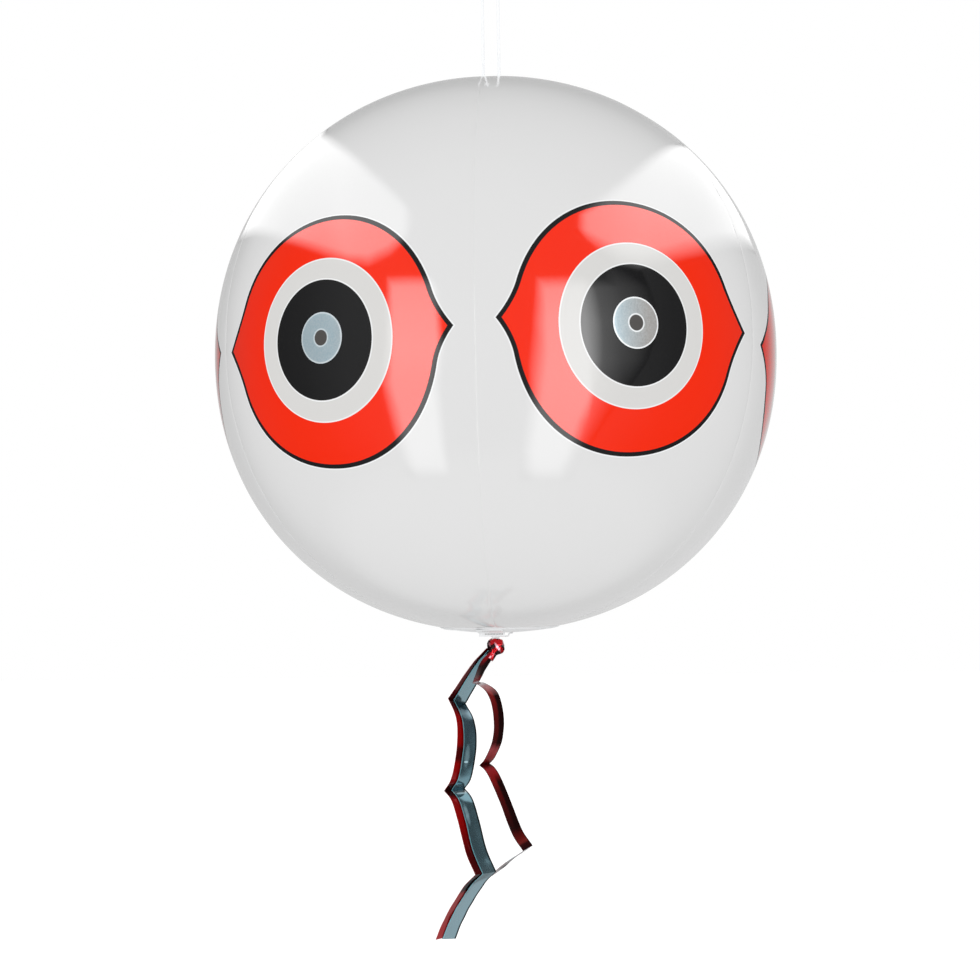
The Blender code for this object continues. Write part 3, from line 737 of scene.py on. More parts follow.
def goreTree(inputs):
    graph, given = newTree("inflatedGore", inputs)
    columns, rows, radius, halfHeight = map(given, ("Columns", "Rows", "Radius", "Half height"))
    power, halfSpread = given("Squareness"), given("Spread") / 2.0
    sizes = {"Size X": 2.0, "Size Y": 2.0, "Vertices X": columns + 1.0, "Vertices Y": rows + 1.0}
    grid = graph.node("GeometryNodeMeshGrid", {}, sizes)
    flatX, flatY = graph.split(graph.node("GeometryNodeInputPosition"))[:2]
    wide = flatX * columns / (columns - 2.0)
    fold = ((abs(wide) - 1.0) * (columns - 2.0) / 2.0).atLeast(0.0)  # 1 on the folded edge
    share = (wide.atLeast(-1.0).atMost(1.0) * (math.pi / 2)).sine()  # columns gather towards the seams
    angle = flatY * given("Reach")
    across, upward = abs(angle.cosine()), abs(angle.sine())
    reach = (across ** power + upward ** power) ** (-1.0 / power)
    ringRadius = radius * reach * across
    ringHeight = halfHeight * reach * upward
    out = (reach * across) ** (power - 1.0) / radius
    up = (reach * upward) ** (power - 1.0) / halfHeight
    size = (out * out + up * up).root()
    toSeam = (1.0 - abs(share)) * ringRadius * halfSpread
    first, third, fifth = graph.split(given("Arc terms"))
    square = angle * angle
    arc = angle * (first + square * (third + square * fifth))
    # gathers run into the seam, deepest at it
    ripplePlace = graph.join(toSeam * 25.0, arc * given("Pucker scale"), given("Seed") + share.sign())
    ripple = graph.grain(ripplePlace, 1.0, 1.0) - 0.5
    sink = given("Seam dip") * ringRadius / radius * abs(share) ** 4.0
    sink = sink + given("Groove") * toSeam.falling(given("Groove width"))
    sink = sink + given("Pucker") * ripple * toSeam.falling(given("Pucker width"))
    sink = sink.atLeast(0.0) + fold * given("Flange")
    finalRadius = ringRadius - sink * out / size
    finalHeight = angle.sign() * (ringHeight - sink * up / size) + given("Centre height")
    turn = given("Middle turn") + share * halfSpread
    onFilm = graph.join(turn.sine() * finalRadius, turn.cosine() * finalRadius * -1.0, finalHeight)
    printX = given("Print side") * share * halfSpread * ringRadius + given("Print shift")
    printPlace = graph.join(printX, arc - given("Print height"), toSeam)
    stored = graph.node("GeometryNodeStoreNamedAttribute", {"data_type": "FLOAT_VECTOR", "domain": "POINT"},
                        {"Geometry": grid, "Name": "film", "Value": printPlace})
    moved = graph.node("GeometryNodeSetPosition", {}, {"Geometry": stored, "Position": onFilm})
    return endTree(graph, moved, given("Material"))


def arcTerms():
    # the length along the meridian from the middle, as a series in the angle
    angles = np.linspace(0, math.pi / 2, 4001)
    points = np.array([meridian(angle) for angle in angles])
    lengths = np.concatenate([[0], np.cumsum(np.hypot(*np.diff(points, axis=0).T))])
    kept = angles < 1.45
    powers = np.stack([angles ** power for power in (1, 3, 5)], 1)
    return tuple(float(term) for term in np.linalg.lstsq(powers[kept], lengths[kept], rcond=None)[0])


def printFacts(number):
    # which way a gore's eye is mirrored, and how high its middle sits
    side = 1 if number % 2 else -1
    return side, side * eye["slip"] - eye["drop"]


def valvePlace():
    # where the valve's axis leaves the ball, and its heading
    turn = (valve["gore"] - 0.5) * goreAngle
    spot = onBall(valve["latitude"], turn)
    return spot, (onBall(valve["latitude"], turn, 0.001) - spot).normalized()


def openForValve(mesh):
    # a hole through both faces of the film, hidden under the flange, with its rim closed
    spot, out = valvePlace()
    hole = valve["filmHole"] / 2
    cells = bmesh.new()
    cells.from_mesh(mesh)

    def fromAxis(point):
        return point - spot - out * out.dot(point - spot)

    lost = [face for face in cells.faces if fromAxis(face.calc_center_median()).length < hole]
    bmesh.ops.delete(cells, geom=lost, context="FACES")
    rim = [edge for edge in cells.edges if edge.is_boundary]
    for vertex in {vertex for edge in rim for vertex in edge.verts}:
        aside = fromAxis(vertex.co)
        rise = (aside.length_squared - hole ** 2) / (2 * ball["radius"])
        vertex.co += aside.normalized() * hole - aside + out * rise
    bmesh.ops.bridge_loops(cells, edges=rim)
    cells.to_mesh(mesh)
    cells.free()


def makeGores():
    shared = {
        **film["sizes"], "Radius": ball["radius"], "Half height": ball["halfHeight"],
        "Centre height": ball["centre"].z, "Squareness": ball["squareness"], "Spread": goreAngle,
        "Reach": angleAtRadius(ball["poleHole"]), "Arc terms": arcTerms(), "Print shift": eye["shift"],
        "Material": filmMaterial}
    tree = None
    for number in range(1, ball["gores"] + 1):
        side, height = printFacts(number)
        inputs = {**shared, "Middle turn": (number - 0.5) * goreAngle, "Seed": number * 7.3,
                  "Print side": float(side), "Print height": height}
        tree = tree or goreTree(inputs)
        mesh = grown(f"goreFilm{number}", tree, inputs, film["thickness"])
        if number == valve["gore"]:
            openForValve(mesh)
        settle(mesh, "balloon", [f"gore_{number}"])


makeGores()
print("gores made")


# Foil pupils

foilDisc = {"rings": 10, "sides": 72, "thickness": 0.0002, "roll": 0.00012,
            "tints": (0.0, 0.7, 0.3, 0.9, 0.2, 1.0)}


def makePupils():
    sides = foilDisc["sides"]
    for number in range(1, ball["gores"] + 1):
        side, height = printFacts(number)
        aside, above = eye["foilPlace"]
        middleTurn = (number - 0.5) * goreAngle + side * (aside - eye["shift"]) / ball["radius"]
        tint = foilDisc["tints"][number - 1]
        top = clearance + foilDisc["thickness"]
        # from the middle of the outer face out to its rolled edge, and back under it
        layers = [(ring, top) for ring in range(foilDisc["rings"])]
        layers += [(foilDisc["rings"], top - foilDisc["roll"])]
        layers += [(ring, clearance) for ring in range(foilDisc["rings"], -1, -1)]
        cells = bmesh.new()
        places = []
        rings = []
        for ring, proud in layers:
            reach = eye["foil"] * ring / foilDisc["rings"]
            points = []
            for step in range(sides if ring else 1):
                turn = math.tau * step / sides
                right, up = reach * math.cos(turn), reach * math.sin(turn)
                spot = onBall(angleAtHeight(up + height + above), middleTurn + right / ball["radius"], proud)
                points.append(cells.verts.new(spot))
                places.append((right, up, tint))
            rings.append(points)
        loft(cells, rings)
        mesh = meshOf(f"foilPupil{number}", cells, pupilMaterial)
        stored = mesh.attributes.new("film", "FLOAT_VECTOR", "POINT")
        stored.data.foreach_set("vector", np.array(places, np.float32).ravel())
        settle(mesh, "balloon", [f"foil_pupil_{number}"], 40.0)


makePupils()
print("pupils made")


# Round patches over the gores' points, each with a ring of weld ribs

patch = {
    "radius": 0.042, "thickness": 0.0003, "sides": 120, "rings": 16, "weldRadius": 0.0385, "ribs": 150,
    "ribSize": (0.0032, 0.0007, 0.00022),
    "edge": ((0.002, 0.6), (0.004, 0.3), (0.005, -0.4)),  # its worn edge: how far out in angle, and how proud
}


def barsOn(graph, given, points, turned):
    # a small bar on every point
    bar = graph.node("GeometryNodeMeshCube", {}, {"Size": given("Size")})
    sockets = {"Points": points, "Instance": bar, "Rotation": turned}
    return endTree(graph, graph.node("GeometryNodeInstanceOnPoints", {}, sockets), given("Material"))


def ribTree(inputs):
    # small bars set round a ring, each tilted to lie on the ball
    graph, given = newTree("weldRibs", inputs)
    ring = graph.node("GeometryNodeMeshCircle", {}, {"Vertices": given("Count"), "Radius": given("Radius")})
    lift = graph.join(0.0, 0.0, given("Height"))
    raised = graph.node("GeometryNodeSetPosition", {}, {"Geometry": ring, "Offset": lift})
    x, y = graph.split(graph.node("GeometryNodeInputPosition"))[:2]
    outwards = graph.join(x, y, given("Slope"))
    turned = graph.node("FunctionNodeAlignRotationToVector", {"axis": "X"}, {"Vector": outwards})
    return barsOn(graph, given, raised, turned)


def makePatches():
    stand = clearance + patch["thickness"]
    rim, rings = angleAtRadius(patch["radius"]), patch["rings"]
    outer = [meridian(math.pi / 2 + (rim - math.pi / 2) * ring / rings, stand) for ring in range(rings + 1)]
    edge = [meridian(rim - slip, stand * proud) for slip, proud in patch["edge"]]
    inner = [meridian(rim + (math.pi / 2 - rim) * ring / rings, clearance) for ring in range(rings + 1)]
    profile = [(0, outer[0][1]), *outer[1:], *edge, *inner[:-1], (0, inner[-1][1])]
    radius, height = meridian(angleAtRadius(patch["weldRadius"]), stand)
    further = meridian(angleAtRadius(patch["weldRadius"] + 0.001), stand)
    slope = (further[1] - height) / (further[0] - radius) * radius
    tree = None
    for name, side, node in (("topPatch", 1, "top_patch"), ("bottomPatch", -1, "bottom_patch")):
        cells = bmesh.new()
        turned = [(wide, up * side) for wide, up in profile]
        lathe(cells, turned, Matrix.Translation(ball["centre"]), patch["sides"])
        settle(meshOf(name, cells, vinylMaterial), "balloon", [node], 25.0)
        inputs = {"Count": patch["ribs"], "Radius": radius, "Height": ball["centre"].z + side * height,
                  "Slope": slope * side, "Size": patch["ribSize"], "Material": vinylMaterial}
        tree = tree or ribTree(inputs)
        settle(grown(name + "Ribs", tree, inputs), "balloon")


makePatches()
print("patches made")


# Welded straps

def patchHeight(radius):
    return meridian(angleAtRadius(radius), clearance + patch["thickness"])[1]


def roundedPath(corners, radius, steps=6):
    # an open line of flat points with arcs at its inner corners
    points = [Vector(corners[0])]
    for before, corner, after in zip(corners, corners[1:], corners[2:]):
        here = Vector(corner)
        back = (Vector(before) - here).normalized()
        ahead = (Vector(after) - here).normalized()
        half = back.angle(ahead) / 2
        cut = radius / math.tan(half)
        middle = here + (back + ahead).normalized() * (radius / math.sin(half))
        for step in range(steps + 1):
            point = (here + back * cut).lerp(here + ahead * cut, step / steps)
            points.append(middle + (point - middle).normalized() * radius)
    points.append(Vector(corners[-1]))
    return points


weldMark = {"width": 0.82, "length": 0.2, "height": 0.00016, "sunk": 0.4, "shoulder": 0.6}


def makeStrap(name, node, look, place):
    # a strip of vinyl that bridges the patch between two welded feet
    thick, half = look["thickness"], look["width"] / 2

    def seat(reach):
        return patchHeight(reach) + clearance + thick / 2

    def ringOf(corners):
        return [cells.verts.new(place(*corner)) for corner in corners]

    top = ball["halfHeight"] + seatGap + look["rise"] + thick / 2
    tip = look["length"] / 2
    heel = tip - look["foot"]
    instep = (tip + heel) / 2
    right = [(tip, seat(tip)), (instep, seat(instep)), (heel, seat(heel)), (look["crown"] / 2, top)]
    corners = [*right[1:], *[(-reach, height) for reach, height in right[:0:-1]]]
    path = [Vector(right[0]), *roundedPath(corners, look["bend"]), Vector((-tip, seat(tip)))]
    cells = bmesh.new()
    flat = half - thick * 0.3  # its long edges are rounded
    rows = []
    for index, point in enumerate(path):
        before, after = neighbours(path, index)
        along = (after - before).normalized()
        up = Vector((-along.y, along.x)) * (thick / 2)
        low = up * 0.4
        section = ((flat, up), (half, low), (half, -low), (flat, -up),
                   (-flat, -up), (-half, -low), (-half, low), (-flat, up))
        rows.append(ringOf([(*(point + lift), across) for across, lift in section]))
    loft(cells, rows, capped=True)
    # weld marks pressed across each foot
    for side in (-1, 1):
        for mark in range(look["marks"]):
            reach = heel + look["foot"] * (mark + 0.9) / (look["marks"] + 0.8)
            slope = (seat(reach + 0.0005) - seat(reach)) / 0.0005 * side
            along = Vector((1, slope)).normalized() * (look["foot"] * weldMark["length"] / look["marks"])
            lift = Vector((-along.y, along.x)).normalized() * weldMark["height"]
            spot = Vector((side * reach, seat(reach) + thick / 2))
            low, near = lift * weldMark["sunk"], along * weldMark["shoulder"]
            corners = (spot - along - low, spot - near + lift, spot + near + lift, spot + along - low)
            wide = half * weldMark["width"]
            ends = [ringOf([(*corner, across) for corner in corners]) for across in (-wide, wide)]
            loft(cells, ends, capped=True)
    settle(meshOf(name, cells, vinylMaterial), "balloon", [node], 40.0)


hangStrap = {"length": 0.034, "width": 0.007, "thickness": 0.0008, "foot": 0.007, "crown": 0.011,
             "rise": 0.0085, "bend": 0.0016, "marks": 6}
tailLoop = {"length": 0.019, "width": 0.003, "thickness": 0.0008, "foot": 0.0026, "crown": 0.0124,
            "bend": 0.0009, "marks": 3}
tailRing = {"inner": math.hypot(tailLoop["width"], tailLoop["thickness"]) / 2 + clearance, "wall": 0.0007,
            "length": 0.005, "edge": 0.0002, "uneven": 0.012, "sides": 48}
tailLoop["rise"] = tailRing["inner"] + tailRing["wall"] + clearance - tailLoop["thickness"] / 2
makeStrap("hangingStrap", "hanging_strap", hangStrap,
          lambda along, height, across: ball["centre"] + Vector((across, along, height)))
makeStrap("tailLoop", "tail_loop", tailLoop,
          lambda along, height, across: ball["centre"] + Vector((along, across, -height)))


tailTab = {
    "left": -0.0139, "right": 0.0044, "thickness": 0.0005, "heel": 0.0112, "drop": 0.0025, "bend": 0.0008,
    "reaches": (0.0415, 0.040, 0.034, 0.027, 0.020, 0.015), "ribs": 12, "ribPitch": 0.0011, "ribStart": -0.0094,
    "ribSize": (0.0007, 0.0012, 0.0005), "ribReach": 0.0375,
}


def barTree(inputs):
    # a row of small bars, tilted to lie on the ball
    graph, given = newTree("weldBars", inputs)
    sockets = {"Count": given("Count"), "Start Location": given("Start"), "Offset": given("Pitch")}
    return barsOn(graph, given, graph.node("GeometryNodeMeshLine", {}, sockets), given("Tilt"))


def makeTailTab():
    # clear tab in front of the tail loop: its foot is welded along the patch and its end hangs down
    look = tailTab
    thick, drop = look["thickness"], look["drop"]
    bottom = ball["centre"].z

    def seat(reach):
        return patchHeight(reach) + thick / 2

    line = [Vector((-reach, -seat(reach))) for reach in look["reaches"]]
    heel = Vector((-look["heel"], -seat(look["heel"])))
    path = [*line, *roundedPath([line[-1], heel, heel - Vector((0, drop))], look["bend"])[1:]]
    cells = bmesh.new()
    rows = []
    for index, point in enumerate(path):
        before, after = neighbours(path, index)
        along = (after - before).normalized()
        lift = Vector((-along.y, along.x)) * (thick / 2)
        low = lift * (0.6 if index == 0 else -1)  # the foot's end runs out to nothing
        corners = ((look["left"], lift), (look["right"], lift), (look["right"], low), (look["left"], low))
        spots = [(across, point.x + up.x, bottom + point.y + up.y) for across, up in corners]
        rows.append([cells.verts.new(spot) for spot in spots])
    loft(cells, rows, capped=True)
    settle(meshOf("tailTab", cells, tabMaterial), "balloon")
    reach, (long, wide, tall) = look["ribReach"], look["ribSize"]
    tilt = math.atan2(seat(reach + 0.0005) - seat(reach - 0.0005), 0.001)
    onFoot = (look["ribStart"], -reach, bottom - seat(reach) - thick / 2)
    onEnd = (look["ribStart"], -look["heel"] - thick / 2, bottom - seat(look["heel"]) - drop * 0.3)
    barRows = ((1, onFoot, (long, wide, tall), tilt), (2, onEnd, (long, tall, wide), 0.0))
    tree = None
    for number, start, size, turn in barRows:
        inputs = {"Count": look["ribs"], "Start": start, "Pitch": (look["ribPitch"], 0.0, 0.0), "Size": size,
                  "Tilt": (turn, 0.0, 0.0), "Material": shadedRibMaterial}
        tree = tree or barTree(inputs)
        settle(grown(f"tailTabRibs{number}", tree, inputs), "balloon")


makeTailTab()
print("straps made")


# Tail: crumpled knot of red foil with its ring and gathered neck

loopDrop = ball["halfHeight"] + seatGap + tailLoop["rise"] + tailLoop["thickness"] / 2
tail = {
    "pivot": Vector((-0.003, 0, ball["centre"].z - loopDrop)),
    "knotSize": Vector((0.0134, 0.0112, 0.0134)),
    "knotDrop": 0.0049,
    "facets": 22,
    "facetReach": (0.84, 0.96),  # of the knot's own radius
    "facetSway": 0.3,
    "crumple": 0.07,
    "crumpleScale": 3.4,
    "neck": Vector((-0.42, -0.30, -0.86)),
    "neckLength": 0.0106,
    "neckRoot": 0.0036,
    "neckEnd": 0.0026,
    "drop": 0.215,
    "pleats": 7,
    "pleatDepth": 0.10,
    "neckSides": 84,
    "seed": 25.0,
}
tail["knot"] = tail["pivot"] - upright(tailRing["inner"] + tailRing["wall"] / 2 + tail["knotDrop"])
knotMaterial = crumpledFoil(knotLook, tail["knot"])
goldenTurn = 2.39996  # spreads headings evenly round a ball


def makeTailKnot():
    # crumpled: each vertex lies on the nearest of some flat facets set at random round the knot
    dice = random.Random(tail["seed"])
    facets = []
    for number in range(tail["facets"]):
        lean = math.asin(2 * (number + 0.5) / tail["facets"] - 1)
        turn = number * goldenTurn + dice.uniform(-tail["facetSway"], tail["facetSway"])
        heading = Vector((math.cos(lean) * math.cos(turn), math.cos(lean) * math.sin(turn), math.sin(lean)))
        facets.append((heading, dice.uniform(*tail["facetReach"])))
    cells = bmesh.new()
    bmesh.ops.create_icosphere(cells, subdivisions=5, radius=1)
    for vertex in cells.verts:
        heading = vertex.co.normalized()
        swell = min(reach / max(0.2, heading.dot(facing)) for facing, reach in facets)
        near, second = noise.voronoi(heading * tail["crumpleScale"] + Vector((tail["seed"], 0, 0)))[0][:2]
        swell = min(swell, 1.08) * (0.955 + tail["crumple"] * (second - near))
        spot = Vector(part * size / 2 * swell for part, size in zip(heading, tail["knotSize"]))
        spot += tail["knot"] - tail["pivot"]
        reach = math.hypot(spot.y, spot.z)
        if reach < tailRing["inner"]:  # a hollow in its top where the loop turns
            spot.yz = spot.yz * (tailRing["inner"] / reach)
        vertex.co = spot + tail["pivot"]
    settle(meshOf("tailKnot", cells, knotMaterial), "tail", ["tail_knot"], 14.0)


def makeTailRing():
    # clear ring round the tail loop, a little uneven
    half, inner, edge = tailRing["length"] / 2, tailRing["inner"], tailRing["edge"]
    outer = inner + tailRing["wall"]
    band = ((inner, -half), (outer - edge, -half), (outer, edge - half), (outer * 0.985, 0),
            (outer, half - edge), (outer - edge, half), (inner, half), (inner, 0), (inner, -half))
    place = Matrix.Translation(tail["pivot"]) @ Matrix.Rotation(math.pi / 2, 4, "Y")
    cells = bmesh.new()
    lathe(cells, band, place, tailRing["sides"],
          lambda turn, height: 1 + tailRing["uneven"] * math.sin(5 * turn + height * 900))
    settle(meshOf("tailRing", cells, vinylMaterial), "tail")


def makeTailNeck():
    # pleats that gather the three ribbons
    root, tip, length = tail["neckRoot"], tail["neckEnd"], tail["neckLength"]
    shares = [step / 16 for step in range(17)]
    gather = [(root + (tip - root) * share, length * (0.02 + 0.98 * share)) for share in shares]
    turned = upright(1).rotation_difference(tail["neck"]).to_matrix().to_4x4()

    def pleated(turn, height):
        return 1 + tail["pleatDepth"] * abs(math.sin(tail["pleats"] * turn / 2 + height * 300))

    cells = bmesh.new()
    lathe(cells, [(0, 0), *gather, (0, length)], Matrix.Translation(tail["knot"]) @ turned,
          tail["neckSides"], pleated)
    settle(meshOf("tailNeck", cells, knotMaterial), "tail")


makeTailKnot()
makeTailRing()
makeTailNeck()
print("tail knot made")


# Ribbons: creased foil, silver on one side and red on the other

ribbon = {"width": 0.012, "film": 0.00025, "spacing": 0.0011, "offset": 0.0056, "step": 0.0016, "columns": 6,
          "curl": 0.0005, "wave": 0.00035, "gather": 0.62, "spread": 1.6, "crease": 0.0003,
          "behind": Vector((-0.656, 0.755, 0))}
# the points of each stretch after its start, from the knot's middle, in shares of the tail's drop
frontFolds = (
    ((-0.063, 0.022, -0.084), (-0.129, 0.065, -0.188)),
    ((-0.098, 0.030, -0.247), (-0.093, 0.024, -0.333), (-0.112, 0.045, -0.435), (-0.139, 0.076, -0.482)),
    ((-0.111, 0.044, -0.511), (-0.088, 0.017, -0.576), (-0.062, -0.012, -0.668), (-0.028, -0.052, -0.732)),
    ((-0.068, -0.006, -0.776), (-0.122, 0.056, -0.862), (-0.156, 0.096, -0.928), (-0.181, 0.125, -0.989)),
)
sideFolds = (
    ((-0.038, -0.036, -0.057), (-0.067, -0.022, -0.118)),
    ((-0.044, -0.036, -0.123), (-0.008, -0.060, -0.153), (0.010, -0.072, -0.221), (0.006, -0.069, -0.296),
     (-0.019, -0.053, -0.357), (-0.040, -0.039, -0.384)),
    ((-0.020, -0.052, -0.400), (0.003, -0.067, -0.440), (0.033, -0.087, -0.509), (0.067, -0.109, -0.591),
     (0.102, -0.131, -0.638)),
    ((0.062, -0.079, -0.673), (0.031, -0.028, -0.701), (-0.009, 0.028, -0.744), (-0.046, 0.093, -0.781)),
)
# "lines": which way the ribbon's width runs at its start, creases and end
# "turns": how soon it turns that way in each stretch; "shares": how much of its offset it has at each place
frontRibbon = {
    "folds": frontFolds, "start": (-0.0020, 0.0006, -0.0020), "cut": 0, "seed": 1.0, "turns": (1, 1, 1, 1),
    "lines": ((0.66, 0.75, 0), (0.68, 0.70, -0.30), (0.755, 0.656, 0), (0.755, 0.656, 0),
              (0.745, 0.645, -0.13)),
    "shares": (0, 0, 0, 0, 0),
}
backRibbon = {
    "folds": frontFolds, "start": (-0.0018, 0.0022, -0.0012), "cut": 1, "seed": 4.0, "turns": (1, 1, 1, 1),
    "lines": (*frontRibbon["lines"][:4], (0.755, 0.656, 0)),
    "shares": (0.50, 0.85, 1.0, 1.0, 1.0),
}
sideRibbon = {
    "folds": sideFolds, "start": (-0.0018, -0.0030, -0.0040), "cut": 0, "seed": 8.0, "turns": (1, 4, 1, 1),
    "lines": ((0.60, 0.80, 0), (0.32, 0.947, 0), (0.545, 0.839, 0), (0.50, 0.82, 0.15), (0.585, 0.654, 0.20)),
    "shares": (0, 0, 0, 0, 0),
}


def ribbonRows(look):
    # place, half width, facing, how freely it curls, and stretch with its share, at each step along the ribbon
    rows = []
    start = tail["knot"] + Vector(look["start"])
    for index, stretch in enumerate(look["folds"]):
        route = [start, *(tail["knot"] + Vector(share) * tail["drop"] for share in stretch)]
        start = route[-1]
        route = smoothRoute(route, ribbon["step"])
        first, last = (Vector(line) for line in look["lines"][index:index + 2])
        begin, end = look["shares"][index:index + 2]
        for step, point in enumerate(route):
            share = step / (len(route) - 1)
            line = first.lerp(last, min(1, share * look["turns"][index])).normalized()
            wide = min(1, ribbon["gather"] + share * ribbon["spread"]) if index == 0 else 1
            before, after = neighbours(route, step)
            face = (after - before).cross(line).normalized()
            crease = math.sin(math.pi * share) ** 0.5 if index else share
            moved = begin + (end - begin) * share
            aside = (ribbon["behind"] * ribbon["spacing"] - line * ribbon["offset"]) * moved
            rows.append((point + aside, line * wide * ribbon["width"] / 2, face, crease, index + share))
    merged = []
    for row in rows[:len(rows) - look["cut"]]:
        if merged and (row[0] - merged[-1][0]).length < ribbon["crease"]:
            row = (row[0], row[1], (row[2] + merged.pop()[2]).normalized(), 0, row[4])
        merged.append(row)
    return merged


def makeRibbon(name, node, look, materials):
    rows = ribbonRows(look)
    cells = bmesh.new()
    lay = []
    borders = []
    for side, lift in enumerate((1, -1)):
        sheet = []
        for index, (point, reach, face, crease, stretch) in enumerate(rows):
            along = index * ribbon["step"]
            line = []
            for column in range(ribbon["columns"] + 1):
                share = 2 * column / ribbon["columns"] - 1
                wave = noise.noise(Vector((share * 0.8, along * 90, look["seed"]))) * ribbon["wave"]
                curl = (share * share - 0.5) * ribbon["curl"]
                spot = point + reach * share + face * (lift * ribbon["film"] / 2 + (wave + curl) * crease)
                line.append(cells.verts.new(spot))
                lay.append((share, along, stretch))
            sheet.append(line)
        for face in sheetFaces(cells, sheet):
            face.material_index = side
        borders.append((sheet[0], [line[-1] for line in sheet], sheet[-1][::-1],
                        [line[0] for line in sheet[::-1]]))
    for strip in zip(*borders):
        sheetFaces(cells, strip)
    mesh = meshOf(name, cells, *materials)
    stored = mesh.attributes.new("lay", "FLOAT_VECTOR", "POINT")
    stored.data.foreach_set("vector", np.array(lay, np.float32).ravel())
    piece = settle(mesh, "tail", [node], 30.0)


makeRibbon("ribbonFront", "ribbon_front", frontRibbon, (silverMaterial, redMaterial))
makeRibbon("ribbonBack", "ribbon_back", backRibbon, (redMaterial, silverMaterial))
makeRibbon("ribbonSide", "ribbon_side", sideRibbon, (wineMaterial, silverMaterial))
print("ribbons made")


# Valve on a rear gore

def makeValve():
    spot, out = valvePlace()
    place = Matrix.Translation(spot) @ upright(1).rotation_difference(out).to_matrix().to_4x4()
    sides = valve["sides"]
    fine, dent = 0.0001, 0.00012  # its smallest roundings, and the depth of the groove near its rim
    base = clearance * 1.2
    top = base + valve["flangeThickness"]
    seat = top + valve["collarRise"]
    rim, collar, bore = valve["flange"] / 2, valve["collar"] / 2, valve["stem"] / 2 + clearance
    cells = bmesh.new()
    lathe(cells, [(bore, base), (rim - fine, base), (rim, base + fine), (rim, top - 0.0005),
                  (rim - 0.00015, top - 0.0002), (rim - 0.0005, top), (rim - 0.0014, top),
                  (rim - 0.0016, top - dent), (rim - 0.0019, top - dent), (rim - 0.0021, top),
                  (collar + 0.0003, top), (collar, top + 0.0002), (collar, seat - 0.0003),
                  (collar - fine, seat - fine), (collar - 0.0003, seat), (bore, seat), (bore, base)],
          place, sides)
    settle(meshOf("valveFlange", cells, mouldMaterial), "balloon", ["valve_flange"])

    outside, inside = valve["stem"] / 2, valve["bore"] / 2
    end = seat - valve["stemLength"]
    lip = outside + valve["lip"]
    cells = bmesh.new()
    lathe(cells, [(inside, end), (lip - 0.0002, end), (lip, end + 0.0002), (lip, end + 0.0008),
                  (lip - 0.0002, end + 0.001), (outside, end + 0.0012), (outside, seat - 0.0002),
                  (outside - 0.0002, seat), (inside + 0.0002, seat), (inside, seat - 0.0002), (inside, end)],
          place, sides)
    settle(meshOf("valveStem", cells, mouldMaterial), "stem", ["valve_stem"])

    seat += clearance
    pin, cap = inside - clearance, valve["plug"] / 2
    foot, crown = seat - valve["plugPin"], seat + valve["plugCap"]
    cells = bmesh.new()
    lathe(cells, [(0, foot), (pin * 0.7, foot), (pin * 0.93, foot + pin * 0.2), (pin, foot + pin * 0.45),
                  (pin, seat), (cap - fine, seat), (cap, seat + fine), (cap, crown - 0.0004),
                  (cap - dent, crown - dent), (cap - 0.0004, crown), (cap * 0.55, crown),
                  (cap * 0.5, crown - 0.00015), (0, crown - 0.00015)], place, sides)
    # the tongue: a flat tab with a round end
    half, root, reach = valve["tongueWidth"] / 2, valve["plug"] / 4, valve["tongueReach"]
    turns = np.linspace(-math.pi / 2, math.pi / 2, 17)
    tip = [(reach - half + half * math.cos(turn), half * math.sin(turn)) for turn in turns]
    outline = [Vector(point) for point in ((root, -half), *tip, (root, half))]
    middle, thick = seat + valve["plugCap"] * 0.55, valve["plugCap"] * 0.3
    layers = []
    for height, inwards in ((-thick, dent), (dent - thick, 0), (thick - dent, 0), (thick, dent)):
        flats = [point - (point - Vector((reach / 2, 0))).normalized() * inwards for point in outline]
        layers.append([cells.verts.new(place @ Vector((flat.x, flat.y, middle + height))) for flat in flats])
    loft(cells, layers, capped=True)
    settle(meshOf("valvePlug", cells, mouldMaterial), "plug", ["valve_plug"])


makeValve()
print("valve made")


# Studio: a white surround for the camera, plain level light, and panels that only reflections see

studio = {
    "floor": -0.95,
    "floorGlow": 0.4,
    "ambient": 1.0,
    "topFall": 0.03,  # how much dimmer it is from above
    # what shiny surfaces see by heading: from the camera's side, round to the bright far side
    "around": [(0.0, 0.15), (0.22, 0.14), (0.38, 0.06), (0.50, 0.04), (0.85, 0.08), (0.90, 0.26), (0.965, 0.60),
               (1.0, 0.75)],
    "below": [(0.0, 0.0), (0.78, 0.0), (0.87, 0.44), (1.0, 0.50)],
    "panel": 2.6,
    "panelAside": 0.36,
    "strip": 3.0,
    "stripAhead": 0.46,
    "lamps": (("keyLight", (-1.9, -1.4, -0.2), 5.5), ("fillLight", (1.9, -1.4, -0.4), 4.5)),
    "lampSize": 1.6,
}


def makeWorld():
    world = bpy.data.worlds.new("studio")
    bpy.context.scene.world = world
    world.use_nodes = True
    world.node_tree.nodes.clear()
    graph = Graph(world.node_tree)
    rays = graph.node("ShaderNodeLightPath")
    depth, up = graph.split(graph.place())[1:]
    mirrored = []
    for name, share in (("around", depth * 0.5 + 0.5), ("below", 0.5 - up * 0.5)):
        greys = graph.ramp([(at, (level, level, level, 1)) for at, level in studio[name]], share)
        mirrored.append(graph.node("ShaderNodeRGBToBW", {}, {0: greys}))
    seen = rays.atLeast(rays.also("Is Transmission Ray"))
    glossy = rays.also("Is Glossy Ray")
    level = studio["ambient"] - up * studio["topFall"]
    plain = glossy * mirrored[0].atLeast(mirrored[1]) + (1.0 - glossy) * level
    strength = seen + (1.0 - seen) * plain
    background = graph.node("ShaderNodeBackground", {}, {"Color": (1, 1, 1, 1), "Strength": strength})
    graph.node("ShaderNodeOutputWorld", {}, {"Surface": background})


